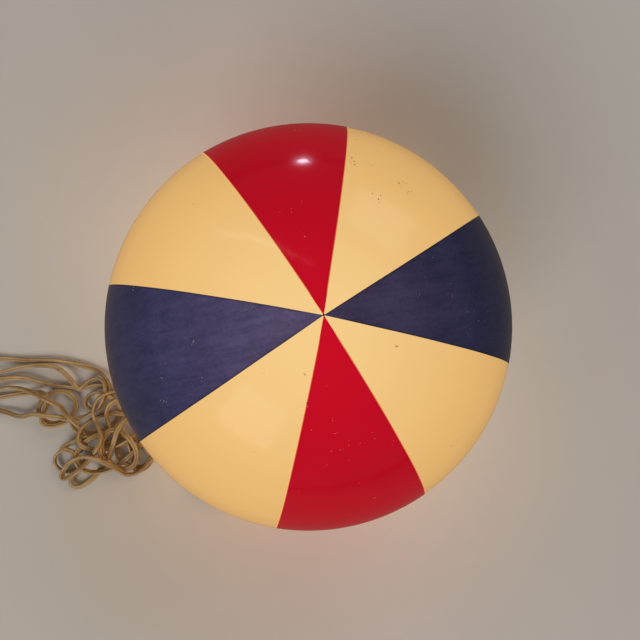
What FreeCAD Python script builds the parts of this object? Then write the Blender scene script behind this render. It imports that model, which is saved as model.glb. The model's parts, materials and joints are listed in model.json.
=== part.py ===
import FreeCAD, Part
import math
import os

# Barber's globe light: an opal glass ball with painted stripes, held by three thumbscrews in a spun
# holder, over a lamp in a porcelain lampholder, with a twin flex and a two-blade plug.
#
# Frame: millimetres, +Z up the globe's axis, origin at the centre of the base's underside.  The red
# stripes are centred on +Y and -Y and the blue ones on +X and -X.  The flex leaves the base towards -X.

# Globe: a 10 inch ball with a neck for a 4 inch holder
GLOBE_R = 127.0
GLOBE_WALL = 4.0
GLOBE_Z = 175.0
NECK_R = 46.0
NECK_FILLET = 8.0
RIM_Z = 36.0
RIM_BEAD_R = 49.0
RIM_BEAD_H = 6.0
RIM_BEAD_ROUND = 1.5

# Painted stripes: every other gore of eight, from the pole down to just above the neck
GORES = 8
PAINT = 0.2
PAINT_POLE_GAP_DEG = 0.6
PAINT_END_DEG = 150.0

# Base: rubber ring, steel plate and the spun holder's flange, one on top of the other
BASE_R = 79.0
GASKET_T = 2.0
GASKET_R = (60.0, 78.0)
PLATE_T = 2.0
PLATE_HOLE_R = 32.0
FLANGE_BOLT_R = 73.0
MOUNT_HOLE_R = 2.6
MOUNT_ANGLES = (30.0, 150.0, 270.0)
HOLDER_SCREW_ANGLES = (90.0, 210.0, 330.0)
M4_R = 2.0
M4_HEAD = (3.6, 2.2)
HEAD_ROUND = 0.4
SLOT_WIDTH = 0.8
SLOT_DEPTH = 0.9
SCREW_PLAY = 0.05

# Spun holder: heights and radii of its outside, from the flange up to the rolled edge of the collar
SHEET = 1.2
DRUM_R = 65.2
DRUM_FOOT = 2.0
DRUM_ROUND = 8.0
SHOULDER_Z = 24.0
WAIST_R = 41.5
WAIST_COVE = 6.0
LEDGE_ROUND = 2.5
COLLAR_R = 52.4
COLLAR_ROUND = 1.5
COLLAR_Z = 54.5
ROLL_R = 1.8
NECK_GASKET_T = 2.0

# Thumbscrews: number 8-32, eight turns from tight to backed out, with a soft tip that doesn't turn
THUMB_ANGLES = (0.0, 120.0, 240.0)
THUMB_Z = 47.0
THUMB_R = 2.08
TIP_R = 2.0
TIP_LENGTH = 2.5
TIP_GAP = 0.05
NOSE_R = 0.9
NOSE_LENGTH = 1.4
HEAD_START = 59.5
HEAD_COLLAR = (3.5, 1.6)
SPADE_R = 6.5
SPADE_T = 2.6
SPADE_ROUND = 0.8
SPADE_GAP = 0.6
BOSS_R = 4.5
BOSS_LENGTH = 5.0
BOSS_BORE_R = 2.15

# Crossbar that carries the lampholder
BAR_T = 2.0
BAR_WIDTH = 18.0
BAR_RISE = 12.0
BAR_HALF = (30.0, 36.0, 48.0)
BAR_SCREW_Y = 42.0

# Threaded nipple and its nuts: 1/8 IP lamp pipe
NIPPLE_R = 4.85
NIPPLE_BORE_R = 3.25
NIPPLE_Z = (9.0, 29.0)
NUT_FLATS = 14.3
NUT_T = 4.0

# Lampholder
CAP_R = 22.0
CAP_HUB_R = 8.0
CAP_T = 1.2
CAP_ROUND = 2.0
CAP_HEIGHT = 8.0
CAP_GAP = 6.0
CAP_SCREW_X = 13.0
CAP_SCREW_R = 1.6
CAP_SCREW_DEPTH = 7.0
CAP_SCREW_HEAD = (3.0, 2.0)
PORCELAIN_TOP_Z = 80.0
PORCELAIN_FLOOR_Z = 49.0
PORCELAIN_BORE_R = 14.2
PORCELAIN_FOOT_R = 20.6
PORCELAIN_BAND_R = 22.5
PORCELAIN_BAND_Z = (36.2, 45.0)
PORCELAIN_BARREL_R = 19.5
PORCELAIN_LIP_R = 20.5
PORCELAIN_LIP_H = 4.0
PORCELAIN_ROUND = 1.0
TERMINAL_Z = 40.0
TERMINAL_DEPTH = 5.5
TERMINAL_ANGLES = (150.0, 210.0)

# E26 screw thread, kept as rings: the cap and the shell wave together, so the lamp can turn
THREAD_PITCH = 3.63
THREAD_DEPTH = 0.8
THREAD_TURNS = 5
THREAD_Z = 58.0
LAMP_CAP_R = 12.65
LAMP_CAP_WALL = 0.3
SHELL_PLAY = 0.08
SHELL_WALL = 0.4
SHELL_FLOOR_R = 8.5
SHELL_TOP_Z = 78.5
TONGUE_T = 0.5
TONGUE_WIDTH = 6.0
TONGUE_DROP = 0.65

# Lamp: 60 mm pear bulb
BULB_R = 30.0
BULB_Z = 130.0
BULB_NECK_R = 13.0
BULB_FILLET = 45.0
BULB_WALL = 0.6
BULB_CONTACT_Z = 52.0
CONTACT_R = 4.4
CONTACT_T = 0.9
INSULATOR_R = (4.6, 7.9)
CAP_END_R = 8.2
CAP_END_DROP = 2.6
CAP_TAPER_DROP = 1.2
CAP_TAPER_IN = 0.4
STEM_HEIGHT = 24.0
STEM_FLARE_R = 10.9
STEM_R = 3.8
LEAD_WIRE_R = 0.35
LEAD_WIRE_X = (1.2, 3.0, 8.0)
FILAMENT_R = 0.45
FILAMENT_HALF = 7.6
FILAMENT_BOW = 4.0
FILAMENT_Z = 128.0

# Flex: two-core, and where it lies
FLEX_WIDTH = 5.5
FLEX_T = 2.8
FLEX_EXIT_Z = 14.0
FLEX_FLOOR_Z = 1.5
FLEX_ROUTE = ((-58.0, 0.0, 14.0), (-66.0, 0.0, 14.0), (-76.0, 0.0, 14.0), (-92.0, -1.0, 1.5),
              (-112.0, -4.0, 1.5), (-150.0, -14.0, 1.5))
BUSHING_R = 4.9
BUSHING_BORE_R = 3.1
BUSHING_FLANGE = (7.0, 1.7)
BUSHING_INSIDE = 3.0
LEAD_R = 1.1
LEAD_ROUTE = ((-57.6, 1.4, 14.0), (-48.0, 4.0, 16.0), (-34.0, 9.0, 28.0), (-25.5, 14.6, 36.5))
HANK_CENTRE = (-256.0, -48.0)
HANK_OUT = (62.0, 74.0)
HANK_IN = (26.0, 38.0)
HANK_H = 18.0
HANK_ROUND = 6.0
HANK_GAP = 2.0
HANK_ARRIVE = 20.0
HANK_LEAVE = -50.0

# Plug: two flat parallel blades
PLUG_AT = (-98.0, -132.0)
PLUG_ANGLE = -12.0
PLUG_H = 14.0
PLUG_LENGTH = 36.0
PLUG_HALF = (12.5, 5.0)
PLUG_SHOULDER = 16.0
PLUG_BEND = (9.0, 3.2)
PLUG_GRIP = 4.0
PLUG_ROUND = 2.0
PLUG_POCKET = (9.0, 9.5, 5.0)
PLUG_COVER_GAP = 0.1
PLUG_COVER_T = 1.3
BLADE = (17.0, 1.5, 6.35)
BLADE_SPACING = 12.7
BLADE_ROOT = 8.5
BLADE_ROUND = 1.4
BLADE_HOLE_R = 1.6
BLADE_HOLE_X = 11.7
BLADE_SCREW_R = 1.25
BLADE_SCREW_LENGTH = 3.0
BLADE_SCREW_HEAD = (2.2, 1.5)
BLADE_SCREW_X = -5.5

BASE_TOP = GASKET_T + PLATE_T
FLANGE_TOP = BASE_TOP + SHEET
LEDGE_Z = RIM_Z - NECK_GASKET_T
BAR_TOP = BASE_TOP + BAR_RISE + BAR_T
CAP_FLOOR_Z = BAR_TOP + NUT_T + CAP_GAP
X_AXIS = FreeCAD.Vector(1, 0, 0)
Y_AXIS = FreeCAD.Vector(0, 1, 0)
Z_AXIS = FreeCAD.Vector(0, 0, 1)
ORIGIN = FreeCAD.Vector(0, 0, 0)


def vec(x, y, z=0.0):
    return FreeCAD.Vector(x, y, z)


def polar(radius, degrees, z=0.0):
    angle = math.radians(degrees)
    return vec(radius * math.cos(angle), radius * math.sin(angle), z)


def arc(middle, end):
    """A step of an outline that curves through middle to end; a plain point is a straight step."""
    return ("arc", middle, end)


def edges_of(start, steps, place):
    """Edges from start through the steps; place turns an outline's point into a place in space."""
    here = place(*start)
    edges = []
    for step in steps:
        if step[0] == "arc":
            end = place(*step[2])
            edges.append(Part.Arc(here, place(*step[1]), end).toShape())
        else:
            end = place(*step)
            edges.append(Part.makeLine(here, end))
        here = end
    return edges


def rounded(*corners):
    """Outline steps round right-angled corners given as (x, z, radius), between two plain end points."""
    steps = []
    for before, corner, after in zip(corners, corners[1:], corners[2:]):
        x, z, radius = corner
        ends = []
        for other in (before, after):
            reach = radius / math.hypot(other[0] - x, other[1] - z)
            ends.append((x + (other[0] - x) * reach, z + (other[1] - z) * reach))
        centre = (ends[0][0] + ends[1][0] - x, ends[0][1] + ends[1][1] - z)
        bend = math.sqrt(0.5)
        middle = (centre[0] + (x - centre[0]) * bend, centre[1] + (z - centre[1]) * bend)
        steps += [ends[0], arc(middle, ends[1])]
    return steps + [corners[-1]]


def in_xz(x, z):
    return vec(x, 0, z)


def in_yz(y, z):
    return vec(0, y, z)


def lathe(start, *steps):
    """Solid turned about Z from a closed outline of (radius, z) points."""
    face = Part.Face(Part.Wire(edges_of(start, list(steps) + [start], in_xz)))
    return face.revolve(ORIGIN, Z_AXIS, 360)


def sheet(start, steps, place, thickness):
    """Face of a bent sheet: the strip between an open line and its offset."""
    line = Part.Wire(edges_of(start, steps, place))
    return line.makeOffset2D(thickness, 2, True, True, False)


def disc(radius, low, high, x=0.0, y=0.0):
    return Part.makeCylinder(radius, high - low, vec(x, y, low))


def ring(outer, inner, low, high):
    return disc(outer, low, high).cut(disc(inner, low, high))


def rod(radius, start, length, angle=0.0, z=0.0):
    """Cylinder pointing outwards from the Z axis, at a height and a compass angle."""
    return Part.makeCylinder(radius, length, polar(start, angle, z), polar(1, angle))


def turned(shape, angle):
    copy = shape.copy()
    copy.rotate(ORIGIN, Z_AXIS, angle)
    return copy


def around(shape, angles):
    return [turned(shape, angle) for angle in angles]


def upright_screw(shank_r, head, z_low, z_seat, x, y):
    """Pan-head screw standing with its head on top, seated at z_seat."""
    head_r, head_h = head
    pan = disc(head_r, z_seat, z_seat + head_h, x, y)
    pan = pan.makeFillet(HEAD_ROUND * head_h, [pan.Edges[0]])
    corner = vec(x - head_r, y - SLOT_WIDTH / 2, z_seat + head_h - SLOT_DEPTH)
    slot = Part.makeBox(2 * head_r, SLOT_WIDTH, SLOT_DEPTH, corner)
    return pan.cut(slot).fuse(disc(shank_r, z_low, z_seat, x, y)).removeSplitter()


def smooth_line(points):
    """Smooth curve that starts and ends at the end points and is pulled towards the ones between."""
    curve = Part.BSplineCurve()
    curve.buildFromPoles([vec(*point) for point in points], False, min(3, len(points) - 1))
    return curve


def round_wire(points, radius):
    """Round wire swept along a smooth line."""
    curve = smooth_line(points)
    circle = Part.makeCircle(radius, curve.value(0), curve.tangent(0)[0])
    return Part.Wire(curve.toShape()).makePipeShell([Part.Wire(circle)], True, True)


def flat_flex(points):
    """Twin flex swept along a smooth line, kept flat side down."""
    curve = smooth_line(points)
    start = curve.value(0)
    along = curve.tangent(0)[0]
    side = Z_AXIS.cross(along).normalize()
    up = along.cross(side).normalize()
    half = (FLEX_WIDTH - FLEX_T) / 2

    def at(across, high):
        return start + side * across + up * high

    r = FLEX_T / 2
    section = Part.Wire([
        Part.makeLine(at(-half, r), at(half, r)),
        Part.Arc(at(half, r), at(half + r, 0), at(half, -r)).toShape(),
        Part.makeLine(at(half, -r), at(-half, -r)),
        Part.Arc(at(-half, -r), at(-half - r, 0), at(-half, r)).toShape(),
    ])
    pipe = Part.BRepOffsetAPI.MakePipeShell(Part.Wire(curve.toShape()))
    pipe.setBiNormalMode(Z_AXIS)
    pipe.add(section)
    pipe.build()
    pipe.makeSolid()
    return pipe.shape()


def necked_ball(ball_r, ball_z, neck_r, fillet, wall, rim_z, rim_steps):
    """Hollow ball on a neck, blended by a cove; rim_steps lead from the neck's mouth to its outside."""
    rise = math.sqrt((ball_r + fillet) ** 2 - (neck_r + fillet) ** 2)
    cove = (neck_r + fillet, ball_z - rise)

    def on_cove(radius, share):
        """A point of the cove: share 0 is where it leaves the neck, and 1 is where it meets the ball."""
        turn = share * math.atan2(rise, cove[0])
        return (cove[0] - radius * math.cos(turn), cove[1] + radius * math.sin(turn))

    def wall_steps(radius, cove_radius):
        side = (radius, ball_z)
        return [arc(on_cove(cove_radius, 0.5), on_cove(cove_radius, 1.0)), arc(side, (0, ball_z + radius))]

    outer_top = wall_steps(ball_r, fillet)
    inner = ball_r - wall
    inner_cove = fillet + wall
    inside = [
        (0, ball_z + inner),
        arc((inner, ball_z), on_cove(inner_cove, 1.0)),
        arc(on_cove(inner_cove, 0.5), on_cove(inner_cove, 0.0)),
    ]
    start = (neck_r - wall, rim_z)
    steps = rim_steps + [on_cove(fillet, 0.0)] + outer_top + inside
    return lathe(start, *steps)


# ---- globe ----

def glass_globe():
    bead_top = RIM_Z + RIM_BEAD_H
    neck = (NECK_R, bead_top + 1.0)
    rim = rounded(
        (NECK_R, RIM_Z),
        (RIM_BEAD_R, RIM_Z, RIM_BEAD_ROUND),
        (RIM_BEAD_R, bead_top, RIM_BEAD_ROUND),
        (NECK_R, bead_top),
    )[:-1]
    return [necked_ball(GLOBE_R, GLOBE_Z, NECK_R, NECK_FILLET, GLOBE_WALL, RIM_Z, rim + [neck])]


def stripe_pair(centre_angle):
    """Two opposite painted gores, as films that lie on the glass."""

    def at(radius, polar_angle):
        angle = math.radians(polar_angle)
        return (radius * math.sin(angle), GLOBE_Z + radius * math.cos(angle))

    inner = GLOBE_R
    outer = GLOBE_R + PAINT
    half_way = (PAINT_POLE_GAP_DEG + PAINT_END_DEG) / 2
    start = at(inner, PAINT_POLE_GAP_DEG)
    steps = [
        arc(at(inner, half_way), at(inner, PAINT_END_DEG)),
        at(outer, PAINT_END_DEG),
        arc(at(outer, half_way), at(outer, PAINT_POLE_GAP_DEG)),
        start,
    ]
    gore = 360.0 / GORES
    film = Part.Face(Part.Wire(edges_of(start, steps, in_xz))).revolve(ORIGIN, Z_AXIS, gore)
    return around(film, (centre_angle - gore / 2, centre_angle + 180 - gore / 2))


def red_panels():
    return stripe_pair(90.0)


def blue_panels():
    return stripe_pair(0.0)


# ---- base and holder ----

def flange_holes(radius, angles, low, high):
    return [disc(radius, low, high, *polar(FLANGE_BOLT_R, angle)[:2]) for angle in angles]


def base_gasket():
    inner, outer = GASKET_R
    holes = flange_holes(MOUNT_HOLE_R, MOUNT_ANGLES, 0, GASKET_T)
    return [ring(outer, inner, 0, GASKET_T).cut(holes)]


def base_plate():
    plate = ring(BASE_R, PLATE_HOLE_R, GASKET_T, BASE_TOP)
    holes = flange_holes(MOUNT_HOLE_R, MOUNT_ANGLES, GASKET_T, BASE_TOP)
    holes += flange_holes(M4_R + SCREW_PLAY, HOLDER_SCREW_ANGLES, GASKET_T, BASE_TOP)
    holes += [disc(M4_R + SCREW_PLAY, GASKET_T, BASE_TOP, 0, y) for y in (-BAR_SCREW_Y, BAR_SCREW_Y)]
    return [plate.cut(holes)]


def holder_outline():
    """Outside of the spun holder, from the flange's edge up to the roll at the top of the collar."""
    under_ledge = LEDGE_Z - SHEET
    return rounded(
        (BASE_R, FLANGE_TOP),
        (DRUM_R, FLANGE_TOP, DRUM_FOOT),
        (DRUM_R, SHOULDER_Z, DRUM_ROUND),
        (WAIST_R, SHOULDER_Z, WAIST_COVE),
        (WAIST_R, under_ledge, LEDGE_ROUND),
        (COLLAR_R, under_ledge, COLLAR_ROUND),
        (COLLAR_R, COLLAR_Z),
    ) + [arc((COLLAR_R + ROLL_R, COLLAR_Z + ROLL_R), (COLLAR_R + 2 * ROLL_R, COLLAR_Z))]


def globe_holder():
    section = sheet((BASE_R, FLANGE_TOP), holder_outline(), in_xz, SHEET)
    shell = section.revolve(ORIGIN, Z_AXIS, 360)
    reach = 4 * SHEET
    holes = flange_holes(MOUNT_HOLE_R, MOUNT_ANGLES, BASE_TOP, FLANGE_TOP)
    holes += flange_holes(M4_R + SCREW_PLAY, HOLDER_SCREW_ANGLES, BASE_TOP, FLANGE_TOP)
    holes += [rod(BOSS_BORE_R, COLLAR_R - reach, 2 * reach, angle, THUMB_Z) for angle in THUMB_ANGLES]
    holes.append(rod(BUSHING_R + SCREW_PLAY, DRUM_R - reach, 2 * reach, 180, FLEX_EXIT_Z))
    return [shell.cut(holes)]


def holder_screws():
    places = [polar(FLANGE_BOLT_R, angle) for angle in HOLDER_SCREW_ANGLES]
    return [upright_screw(M4_R, M4_HEAD, GASKET_T, FLANGE_TOP, p.x, p.y) for p in places]


def screw_bosses():
    """Tapped bosses on the collar's outside, one for each thumbscrew."""
    boss = rod(BOSS_R, COLLAR_R - 1, BOSS_LENGTH + 1, 0, THUMB_Z)
    collar = disc(COLLAR_R, THUMB_Z - 2 * BOSS_R, THUMB_Z + 2 * BOSS_R)
    boss = boss.cut([collar, rod(BOSS_BORE_R, COLLAR_R - 2, 2 * BOSS_LENGTH, 0, THUMB_Z)])
    return around(boss, THUMB_ANGLES)


def neck_gasket():
    inner = WAIST_R + LEDGE_ROUND + 4 * SCREW_PLAY
    outer = COLLAR_R - SHEET - 8 * SCREW_PLAY
    return [ring(outer, inner, LEDGE_Z, RIM_Z)]


# ---- thumbscrews ----

def thumbscrew(angle):
    end = NECK_R + TIP_GAP + TIP_LENGTH + TIP_GAP
    shank = rod(THUMB_R, end, HEAD_START - end, 0, THUMB_Z)
    nose = rod(NOSE_R, end - NOSE_LENGTH, NOSE_LENGTH, 0, THUMB_Z)
    shoulder = rod(HEAD_COLLAR[0], HEAD_START, HEAD_COLLAR[1], 0, THUMB_Z)
    centre = vec(HEAD_START + SPADE_R + SPADE_GAP, -SPADE_T / 2, THUMB_Z)
    spade = Part.makeCylinder(SPADE_R, SPADE_T, centre, Y_AXIS)
    rims = [edge for edge in spade.Edges if edge.Curve.TypeId == "Part::GeomCircle"]
    spade = spade.makeFillet(SPADE_ROUND, rims)
    return [turned(spade.fuse([shank, nose, shoulder]).removeSplitter(), angle)]


def thumbscrew_tip(angle):
    """Soft plug at the screw's end; it bears on the glass and stays still while the screw turns."""
    start = NECK_R + TIP_GAP
    tip = rod(TIP_R, start, TIP_LENGTH, 0, THUMB_Z)
    socket = rod(NOSE_R + SCREW_PLAY, start + TIP_LENGTH - NOSE_LENGTH - TIP_GAP, 2 * NOSE_LENGTH, 0, THUMB_Z)
    return [turned(tip.cut(socket), angle)]


# ---- crossbar and nipple ----

def crossbar():
    centre, foot, end = BAR_HALF
    high = BASE_TOP + BAR_RISE
    steps = [(-foot, BASE_TOP), (-centre, high), (centre, high), (foot, BASE_TOP), (end, BASE_TOP)]
    section = sheet((-end, BASE_TOP), steps, in_yz, -BAR_T)
    section.translate(vec(-BAR_WIDTH / 2, 0))
    bar = section.extrude(vec(BAR_WIDTH, 0))
    holes = [disc(M4_R + SCREW_PLAY, BASE_TOP, BAR_TOP, 0, y) for y in (-BAR_SCREW_Y, BAR_SCREW_Y)]
    return [bar.cut(holes + [disc(NIPPLE_R + SCREW_PLAY, BASE_TOP, BAR_TOP)])]


def crossbar_screws():
    seat = BASE_TOP + BAR_T
    return [upright_screw(M4_R, M4_HEAD, GASKET_T, seat, 0, y) for y in (-BAR_SCREW_Y, BAR_SCREW_Y)]


def nipple():
    return [ring(NIPPLE_R, NIPPLE_BORE_R, *NIPPLE_Z)]


def hex_nut(low):
    corner = NUT_FLATS / math.sqrt(3)
    points = [polar(corner, 60 * side, low) for side in range(7)]
    blank = Part.Face(Part.makePolygon(points)).extrude(vec(0, 0, NUT_T))
    return blank.cut(disc(NIPPLE_R + SCREW_PLAY, low, low + NUT_T))


def nipple_locknuts():
    return [hex_nut(BAR_TOP), hex_nut(BAR_TOP - BAR_T - NUT_T)]


# ---- lampholder ----

def cap_screw_holes(radius, low, high):
    return [disc(radius, low, high, x) for x in (-CAP_SCREW_X, CAP_SCREW_X)]


def lampholder_cap():
    """Metal cup under the porcelain, with a tapped hub for the nipple."""
    floor_top = CAP_FLOOR_Z + CAP_T
    bore = NIPPLE_R + SCREW_PLAY
    hub_top = (CAP_HUB_R, CAP_FLOOR_Z)
    rim = [hub_top] + rounded(hub_top, (CAP_R, CAP_FLOOR_Z, CAP_ROUND), (CAP_R, CAP_FLOOR_Z + CAP_HEIGHT))
    cup = lathe(
        (bore, BAR_TOP + NUT_T),
        (CAP_HUB_R, BAR_TOP + NUT_T),
        *rim,
        (CAP_R - CAP_T, CAP_FLOOR_Z + CAP_HEIGHT),
        (CAP_R - CAP_T, floor_top),
        (bore, floor_top),
    )
    return [cup.cut(cap_screw_holes(CAP_SCREW_R + SCREW_PLAY, CAP_FLOOR_Z, floor_top))]


def lampholder_cap_screws():
    head_r, head_h = CAP_SCREW_HEAD
    screws = []
    for x in (-CAP_SCREW_X, CAP_SCREW_X):
        head = disc(head_r, CAP_FLOOR_Z - head_h, CAP_FLOOR_Z, x)
        head = head.makeFillet(HEAD_ROUND * head_h, [head.Edges[2]])
        shank = disc(CAP_SCREW_R, CAP_FLOOR_Z, CAP_FLOOR_Z + CAP_SCREW_DEPTH, x)
        screws.append(head.fuse(shank).removeSplitter())
    return screws


def lampholder_body():
    """Porcelain body: a foot inside the cap, a band with the terminals, and the barrel for the shell."""
    foot_z = CAP_FLOOR_Z + CAP_T
    band_z, band_top = PORCELAIN_BAND_Z
    step_z = band_top + PORCELAIN_ROUND
    lip_z = PORCELAIN_TOP_Z - PORCELAIN_LIP_H
    band = rounded(
        (PORCELAIN_BAND_R, band_z),
        (PORCELAIN_BAND_R, band_top, PORCELAIN_ROUND),
        (PORCELAIN_BARREL_R, band_top),
    )[:-1]
    lip = rounded(
        (PORCELAIN_LIP_R, lip_z),
        (PORCELAIN_LIP_R, PORCELAIN_TOP_Z, PORCELAIN_ROUND),
        (PORCELAIN_BORE_R, PORCELAIN_TOP_Z),
    )
    body = lathe(
        (0, foot_z),
        (PORCELAIN_FOOT_R, foot_z),
        (PORCELAIN_FOOT_R, band_z),
        (PORCELAIN_BAND_R, band_z),
        *band,
        (PORCELAIN_BARREL_R, step_z),
        (PORCELAIN_BARREL_R, lip_z - PORCELAIN_ROUND),
        (PORCELAIN_LIP_R, lip_z),
        *lip,
        (PORCELAIN_BORE_R, PORCELAIN_FLOOR_Z),
        (0, PORCELAIN_FLOOR_Z),
    )
    hole_r = CAP_SCREW_R + SCREW_PLAY
    holes = cap_screw_holes(hole_r, foot_z, foot_z + CAP_SCREW_DEPTH)
    start = PORCELAIN_BAND_R - TERMINAL_DEPTH - SCREW_PLAY
    holes += [rod(hole_r, start, 2 * TERMINAL_DEPTH, angle, TERMINAL_Z) for angle in TERMINAL_ANGLES]
    return [body.cut(holes)]


def terminal_screws():
    head_r, head_h = CAP_SCREW_HEAD
    seat = PORCELAIN_BAND_R + 2 * SCREW_PLAY
    start = PORCELAIN_BAND_R - TERMINAL_DEPTH
    shank = rod(CAP_SCREW_R, start, seat - start, 0, TERMINAL_Z)
    screw = shank.fuse(rod(head_r, seat, head_h, 0, TERMINAL_Z))
    return around(screw.removeSplitter(), TERMINAL_ANGLES)


def thread_points(radius):
    """Points up a ringed wall: the end and the middle of each half ring, in turn."""
    points = []
    for step in range(4 * THREAD_TURNS + 1):
        swing = (0, 1, 0, -1)[step % 4] * THREAD_DEPTH / 2
        points.append((radius + swing, THREAD_Z + step * THREAD_PITCH / 4))
    return points


def arcs_through(points):
    return [arc(points[i], points[i + 1]) for i in range(1, len(points) - 1, 2)]


def ringed_shell(outer_r, wall, outer_foot, inner_foot, top):
    """Thin ringed tube; the feet are the points that lead to its outside and back from its inside."""
    crest = THREAD_DEPTH / 2
    inner_r = outer_r - wall
    outside = thread_points(outer_r)
    inside = thread_points(inner_r)[::-1]
    steps = outer_foot[1:] + [outside[0]] + arcs_through(outside)
    steps += [(outer_r + crest, top), (inner_r + crest, top), inside[0]] + arcs_through(inside)
    return lathe(outer_foot[0], *steps, *inner_foot)


def lampholder_screw_shell():
    """Brass shell that the lamp screws into, with a ring-shaped floor."""
    inner_r = LAMP_CAP_R + SHELL_PLAY
    outer_r = inner_r + SHELL_WALL
    low = PORCELAIN_FLOOR_Z
    outer_foot = [(SHELL_FLOOR_R, low), (outer_r, low)]
    inner_foot = [(inner_r, low + SHELL_WALL), (SHELL_FLOOR_R, low + SHELL_WALL)]
    return [ringed_shell(outer_r, SHELL_WALL, outer_foot, inner_foot, SHELL_TOP_Z)]


def lampholder_centre_contact():
    """Springy brass tongue that presses on the lamp's end."""
    low = PORCELAIN_FLOOR_Z
    high = BULB_CONTACT_Z - TONGUE_DROP
    steps = [(2.0, low), (-2.5, high), (-4.5, high - TONGUE_T / 2)]
    section = sheet((6.5, low), steps, in_xz, -TONGUE_T)
    section.translate(vec(0, -TONGUE_WIDTH / 2))
    return [section.extrude(vec(0, TONGUE_WIDTH))]


# ---- lamp ----

def bulb_glass():
    mouth = [(BULB_NECK_R, PORCELAIN_TOP_Z)]
    return [necked_ball(BULB_R, BULB_Z, BULB_NECK_R, BULB_FILLET, BULB_WALL, PORCELAIN_TOP_Z, mouth)]


def bulb_cap():
    """Ringed brass cap, drawn in at its end to hold the insulator."""
    end_z = THREAD_Z - CAP_END_DROP
    taper_z = THREAD_Z - CAP_TAPER_DROP
    taper_r = LAMP_CAP_R - CAP_TAPER_IN
    outer_foot = [(CAP_END_R, end_z), (taper_r, taper_z)]
    inner_foot = [(taper_r - LAMP_CAP_WALL, taper_z), (CAP_END_R - 0.2, end_z + LAMP_CAP_WALL)]
    return [ringed_shell(LAMP_CAP_R, LAMP_CAP_WALL, outer_foot, inner_foot, PORCELAIN_TOP_Z)]


def bulb_insulator():
    low_r, high_r = INSULATOR_R
    low = BULB_CONTACT_Z + CONTACT_T
    cap_end = THREAD_Z - CAP_END_DROP
    top = cap_end + 5 * LAMP_CAP_WALL
    return [lathe((0, low), (low_r, low), (high_r, cap_end), (high_r, top), (0, top))]


def bulb_contact():
    low = BULB_CONTACT_Z
    middle = (0.7 * CONTACT_R, low + CONTACT_T / 3)
    return [lathe((0, low), arc(middle, (CONTACT_R, low + CONTACT_T)), (0, low + CONTACT_T))]


def bulb_stem():
    """Glass tube that holds the filament: a flare at the neck, drawn in to a solid press at the top."""
    flare_z = PORCELAIN_TOP_Z + 1.0
    neck_z = flare_z + STEM_HEIGHT / 3
    return [lathe(
        (0, flare_z + 0.75 * STEM_HEIGHT),
        (STEM_R - 1.6, neck_z + STEM_HEIGHT / 3),
        (STEM_R - 1.2, neck_z),
        arc((STEM_R + 1.2, flare_z + 2.4), (STEM_FLARE_R - 0.3, flare_z)),
        (STEM_FLARE_R, flare_z + 0.8),
        arc((STEM_R + 2.2, flare_z + 3.2), (STEM_R, neck_z)),
        (STEM_R - 0.4, flare_z + 0.8 * STEM_HEIGHT),
        (STEM_R - 0.8, flare_z + STEM_HEIGHT),
        (0, flare_z + STEM_HEIGHT),
    )]


def bulb_lead_wires():
    """Two stiff wires from the stem's press out to the filament's ends."""
    low = PORCELAIN_TOP_Z + STEM_HEIGHT + 1.2
    start, bend, end = LEAD_WIRE_X
    wire = round_wire([(start, 0, low), (bend, 0, low + 6.0), (end, 0, FILAMENT_Z - 1.0)], LEAD_WIRE_R)
    return around(wire, (0.0, 180.0))


def bulb_filament():
    """Fine tungsten coil, shown as the rod that its turns fill, bowed up between the lead wires."""
    shoulder = FILAMENT_HALF / 2
    top = FILAMENT_Z + FILAMENT_BOW
    left = [(-FILAMENT_HALF, 0, FILAMENT_Z), (-shoulder, 0, top)]
    bow = left + [(-x, y, z) for x, y, z in reversed(left)]
    return [round_wire(bow, FILAMENT_R)]


# ---- flex and plug ----

def cord_bushing():
    """Flanged plastic sleeve that protects the flex where it leaves the drum."""
    flange_r, flange_t = BUSHING_FLANGE
    outside = DRUM_R + 2 * SCREW_PLAY
    inside = DRUM_R - SHEET - BUSHING_INSIDE
    length = outside + flange_t - inside
    body = rod(BUSHING_R, inside, length, 180, FLEX_EXIT_Z)
    flange = rod(flange_r, outside, flange_t, 180, FLEX_EXIT_Z)
    flange = flange.makeFillet(flange_t / 2, [flange.Edges[0]])
    bore = rod(BUSHING_BORE_R, inside, length, 180, FLEX_EXIT_Z)
    return [body.fuse(flange).cut(bore).removeSplitter()]


def hank_edge(degrees):
    """A point just outside the coiled flex, towards a compass angle from its centre."""
    angle = math.radians(degrees)
    x = HANK_CENTRE[0] + (HANK_OUT[0] + HANK_GAP) * math.cos(angle)
    y = HANK_CENTRE[1] + (HANK_OUT[1] + HANK_GAP) * math.sin(angle)
    return (x, y, FLEX_FLOOR_Z)


def cord_lead():
    """Flex from inside the drum, over the flange and along the floor to the coil."""
    return [flat_flex(list(FLEX_ROUTE) + [hank_edge(HANK_ARRIVE)])]


def ellipse_block(radii, low, high):
    """Upright block on an ellipse whose longer radius runs along Y."""
    centre = vec(*HANK_CENTRE, low)
    curve = Part.Ellipse(centre + vec(0, radii[1]), centre + vec(radii[0], 0), centre)
    return Part.Face(Part.Wire(curve.toShape())).extrude(vec(0, 0, high - low))


def cord_hank():
    """The space that the coiled spare flex fills: a low oval ring."""
    block = ellipse_block(HANK_OUT, 0, HANK_H).cut(ellipse_block(HANK_IN, 0, HANK_H))
    tops = [edge for edge in block.Edges if edge.CenterOfMass.z > HANK_H - 0.01]
    return [block.makeFillet(HANK_ROUND, tops)]


def plug_point(x, z):
    """A point on the plug's middle line, x in front of its face."""
    place = polar(x, PLUG_ANGLE, z) + vec(*PLUG_AT)
    return tuple(place)


def placed_plug(shape):
    shape = turned(shape, PLUG_ANGLE)
    shape.translate(vec(*PLUG_AT))
    return shape


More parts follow.
